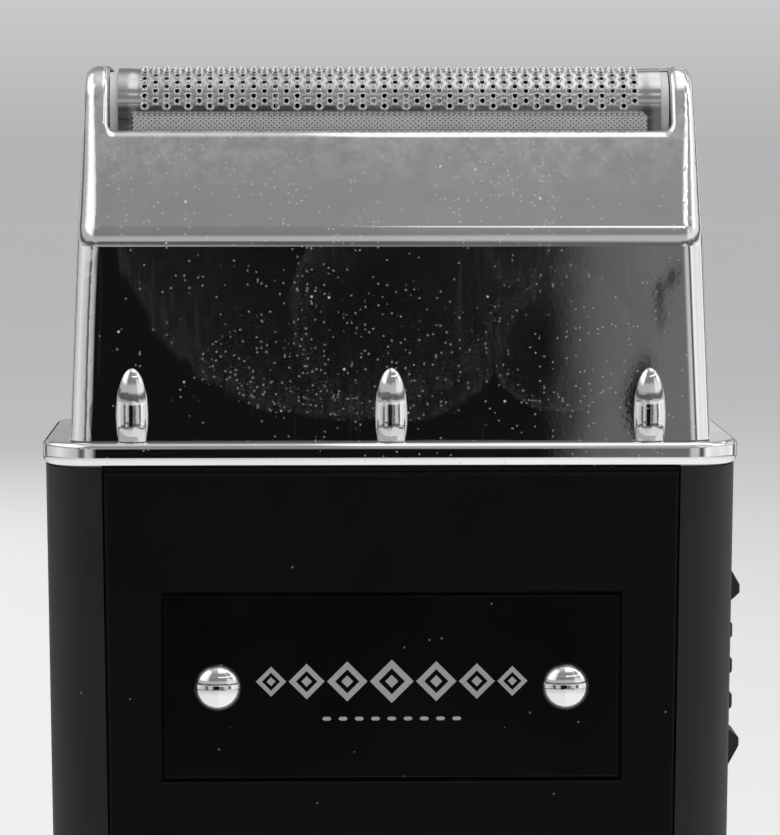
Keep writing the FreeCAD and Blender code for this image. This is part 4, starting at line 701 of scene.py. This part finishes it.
def degrees_share(degrees):
    """A ramp position for an elevation: 0 straight down, 1 straight up."""
    return (degrees + 90) / 180


def by_degrees(rows):
    """Ramp stops from rows of (degrees, brightness)."""
    return [(degrees_share(angle), tone) for angle, tone in rows]


def spot_in_room(shader, across, height, middle, reach):
    """1 inside an ellipse of directions and 0 outside, with a soft edge."""
    terms = []
    for angle, centre, half in ((across, middle[0], reach[0]), (height, middle[1], reach[1])):
        offset = shader.math("DIVIDE", shader.math("SUBTRACT", angle, centre), half)
        terms.append(shader.math("MULTIPLY", offset, offset))
    return shader.ramp(shader.math("ADD", *terms), [(0.65, 1.0), (1.0, 0.0)])


def make_world():
    """Pale room. Mirror-like surfaces see bands of light and shade; everything else sees even light.

    Directions are given in degrees: height above the level, and across from straight ahead. The room is
    the same behind the object as in front of it.
    """
    world = bpy.data.worlds.new("room")
    bpy.context.scene.world = world
    shader = Shader(world)
    direction = shader.add("TexCoord").outputs["Generated"]
    axes = shader.add("SeparateXYZ", {"Vector": direction})
    height = shader.math("DEGREES", shader.math("ARCSINE", axes.outputs["Z"]))
    ahead = shader.math("ABSOLUTE", axes.outputs["Y"])
    across = shader.math("DEGREES", shader.math("ARCTAN2", axes.outputs["X"], ahead))
    ripple = shader.math("SUBTRACT", shader.noise(38.0, 3.0, 0.6, direction), 0.5)
    share = shader.math("DIVIDE", shader.math("ADD", height, 90.0), 180.0)
    turned = shader.math("ADD", across, shader.math("MULTIPLY", ripple, RIPPLE))
    right = shader.ramp(shader.math("DIVIDE", shader.math("SUBTRACT", turned, SEAM), SEAM_WIDE),
                        [(0.0, 0.0), (1.0, 1.0)])
    seen = shader.mix(right, shader.ramp(share, by_degrees(ROOM_LEFT)),
                      shader.ramp(share, by_degrees(ROOM_RIGHT)))

    around = shader.math("DIVIDE", shader.math("ADD", turned, 90.0), 180.0)
    shade = None
    for middle, reach in DARK_PATCHES:
        patch = spot_in_room(shader, turned, height, middle, reach)
        shade = patch if shade is None else shader.math("MAXIMUM", shade, patch)
    low_wall = shader.mix(shade, shader.ramp(around, by_degrees(LOW_WALL)), grey(PATCH_TONE))
    upper_wall = shader.ramp(around, by_degrees(UPPER_WALL))
    window_wall = shader.ramp(around, by_degrees(WINDOW_WALL))
    for wall, band in ((low_wall, LOW_BAND), (upper_wall, UPPER_BAND), (window_wall, WINDOW_BAND)):
        within = shader.ramp(share, by_degrees(band))
        seen = shader.mix(1.0, seen, shader.mix(within, grey(0.0), wall), "ADD")

    path = shader.add("LightPath")
    backdrop = shader.ramp(share, by_degrees(BACKDROP))
    even = shader.mix(path.outputs["Is Camera Ray"], grey(EVEN_TONE), backdrop)
    colour = shader.mix(path.outputs["Is Glossy Ray"], even, seen)
    background = shader.add("Background", {"Color": colour, "Strength": 1.0})
    shader.add("OutputWorld", {"Surface": background})


def make_floor():
    """Large pale floor, which the chrome doesn't mirror."""
    material = bpy.data.materials.new("floor")
    shader = Shader(material)
    tone = shader.mix(shader.noise(6.0, 3.0), grey(0.56), grey(0.59))
    normal = shader.bump(shader.noise(900.0, 2.0), 0.00002, 0.5)
    finish_material(shader, shader.add("BsdfPrincipled", {
        "Base Color": tone, "Roughness": 1.0, "Specular IOR Level": 0.0, "Normal": normal}))
    corners = [(-FLOOR_HALF, -FLOOR_HALF, 0), (FLOOR_HALF, -FLOOR_HALF, 0),
               (FLOOR_HALF, FLOOR_HALF, 0), (-FLOOR_HALF, FLOOR_HALF, 0)]
    floor = mesh_object("floor", corners, [(0, 1, 2, 3)], material)
    floor.visible_glossy = False


def area_light(name, place, width, height, power):
    """A soft box that faces the lit point and isn't seen in reflections."""
    data = bpy.data.lights.new(name, "AREA")
    data.shape = "RECTANGLE"
    data.size, data.size_y, data.energy = width, height, power
    light = bpy.data.objects.new(name, data)
    light.location = place
    light.rotation_euler = (Vector(LIT_POINT) - Vector(place)).to_track_quat("-Z", "Y").to_euler()
    light.visible_glossy = False
    bpy.context.scene.collection.objects.link(light)


def make_camera():
    """A long lens a little above the head, aimed slightly down and from just left of the middle."""
    data = bpy.data.cameras.new("camera")
    data.lens = LENS
    data.sensor_width = SENSOR
    data.clip_start = 0.01
    camera = bpy.data.objects.new("camera", data)
    aside, above = math.radians(CAMERA_ASIDE), math.radians(CAMERA_ABOVE)
    back = Vector((math.sin(aside) * math.cos(above), -math.cos(aside) * math.cos(above), math.sin(above)))
    camera.location = Vector(CAMERA_TARGET) + back * CAMERA_DISTANCE
    camera.rotation_euler = (-back).to_track_quat("-Z", "Y").to_euler()
    bpy.context.scene.collection.objects.link(camera)
    bpy.context.scene.camera = camera


# ------------------------------------------------------------------ the scene
materials = make_materials()
paint_cad_nodes(materials)
make_foils(materials)
make_springs(materials)
make_flexure_legs(materials)
make_ornament(materials)
make_world()
make_floor()
for box in SOFTBOXES:
    area_light(*box)
make_camera()
bpy.context.scene.view_settings.view_transform = "Standard"
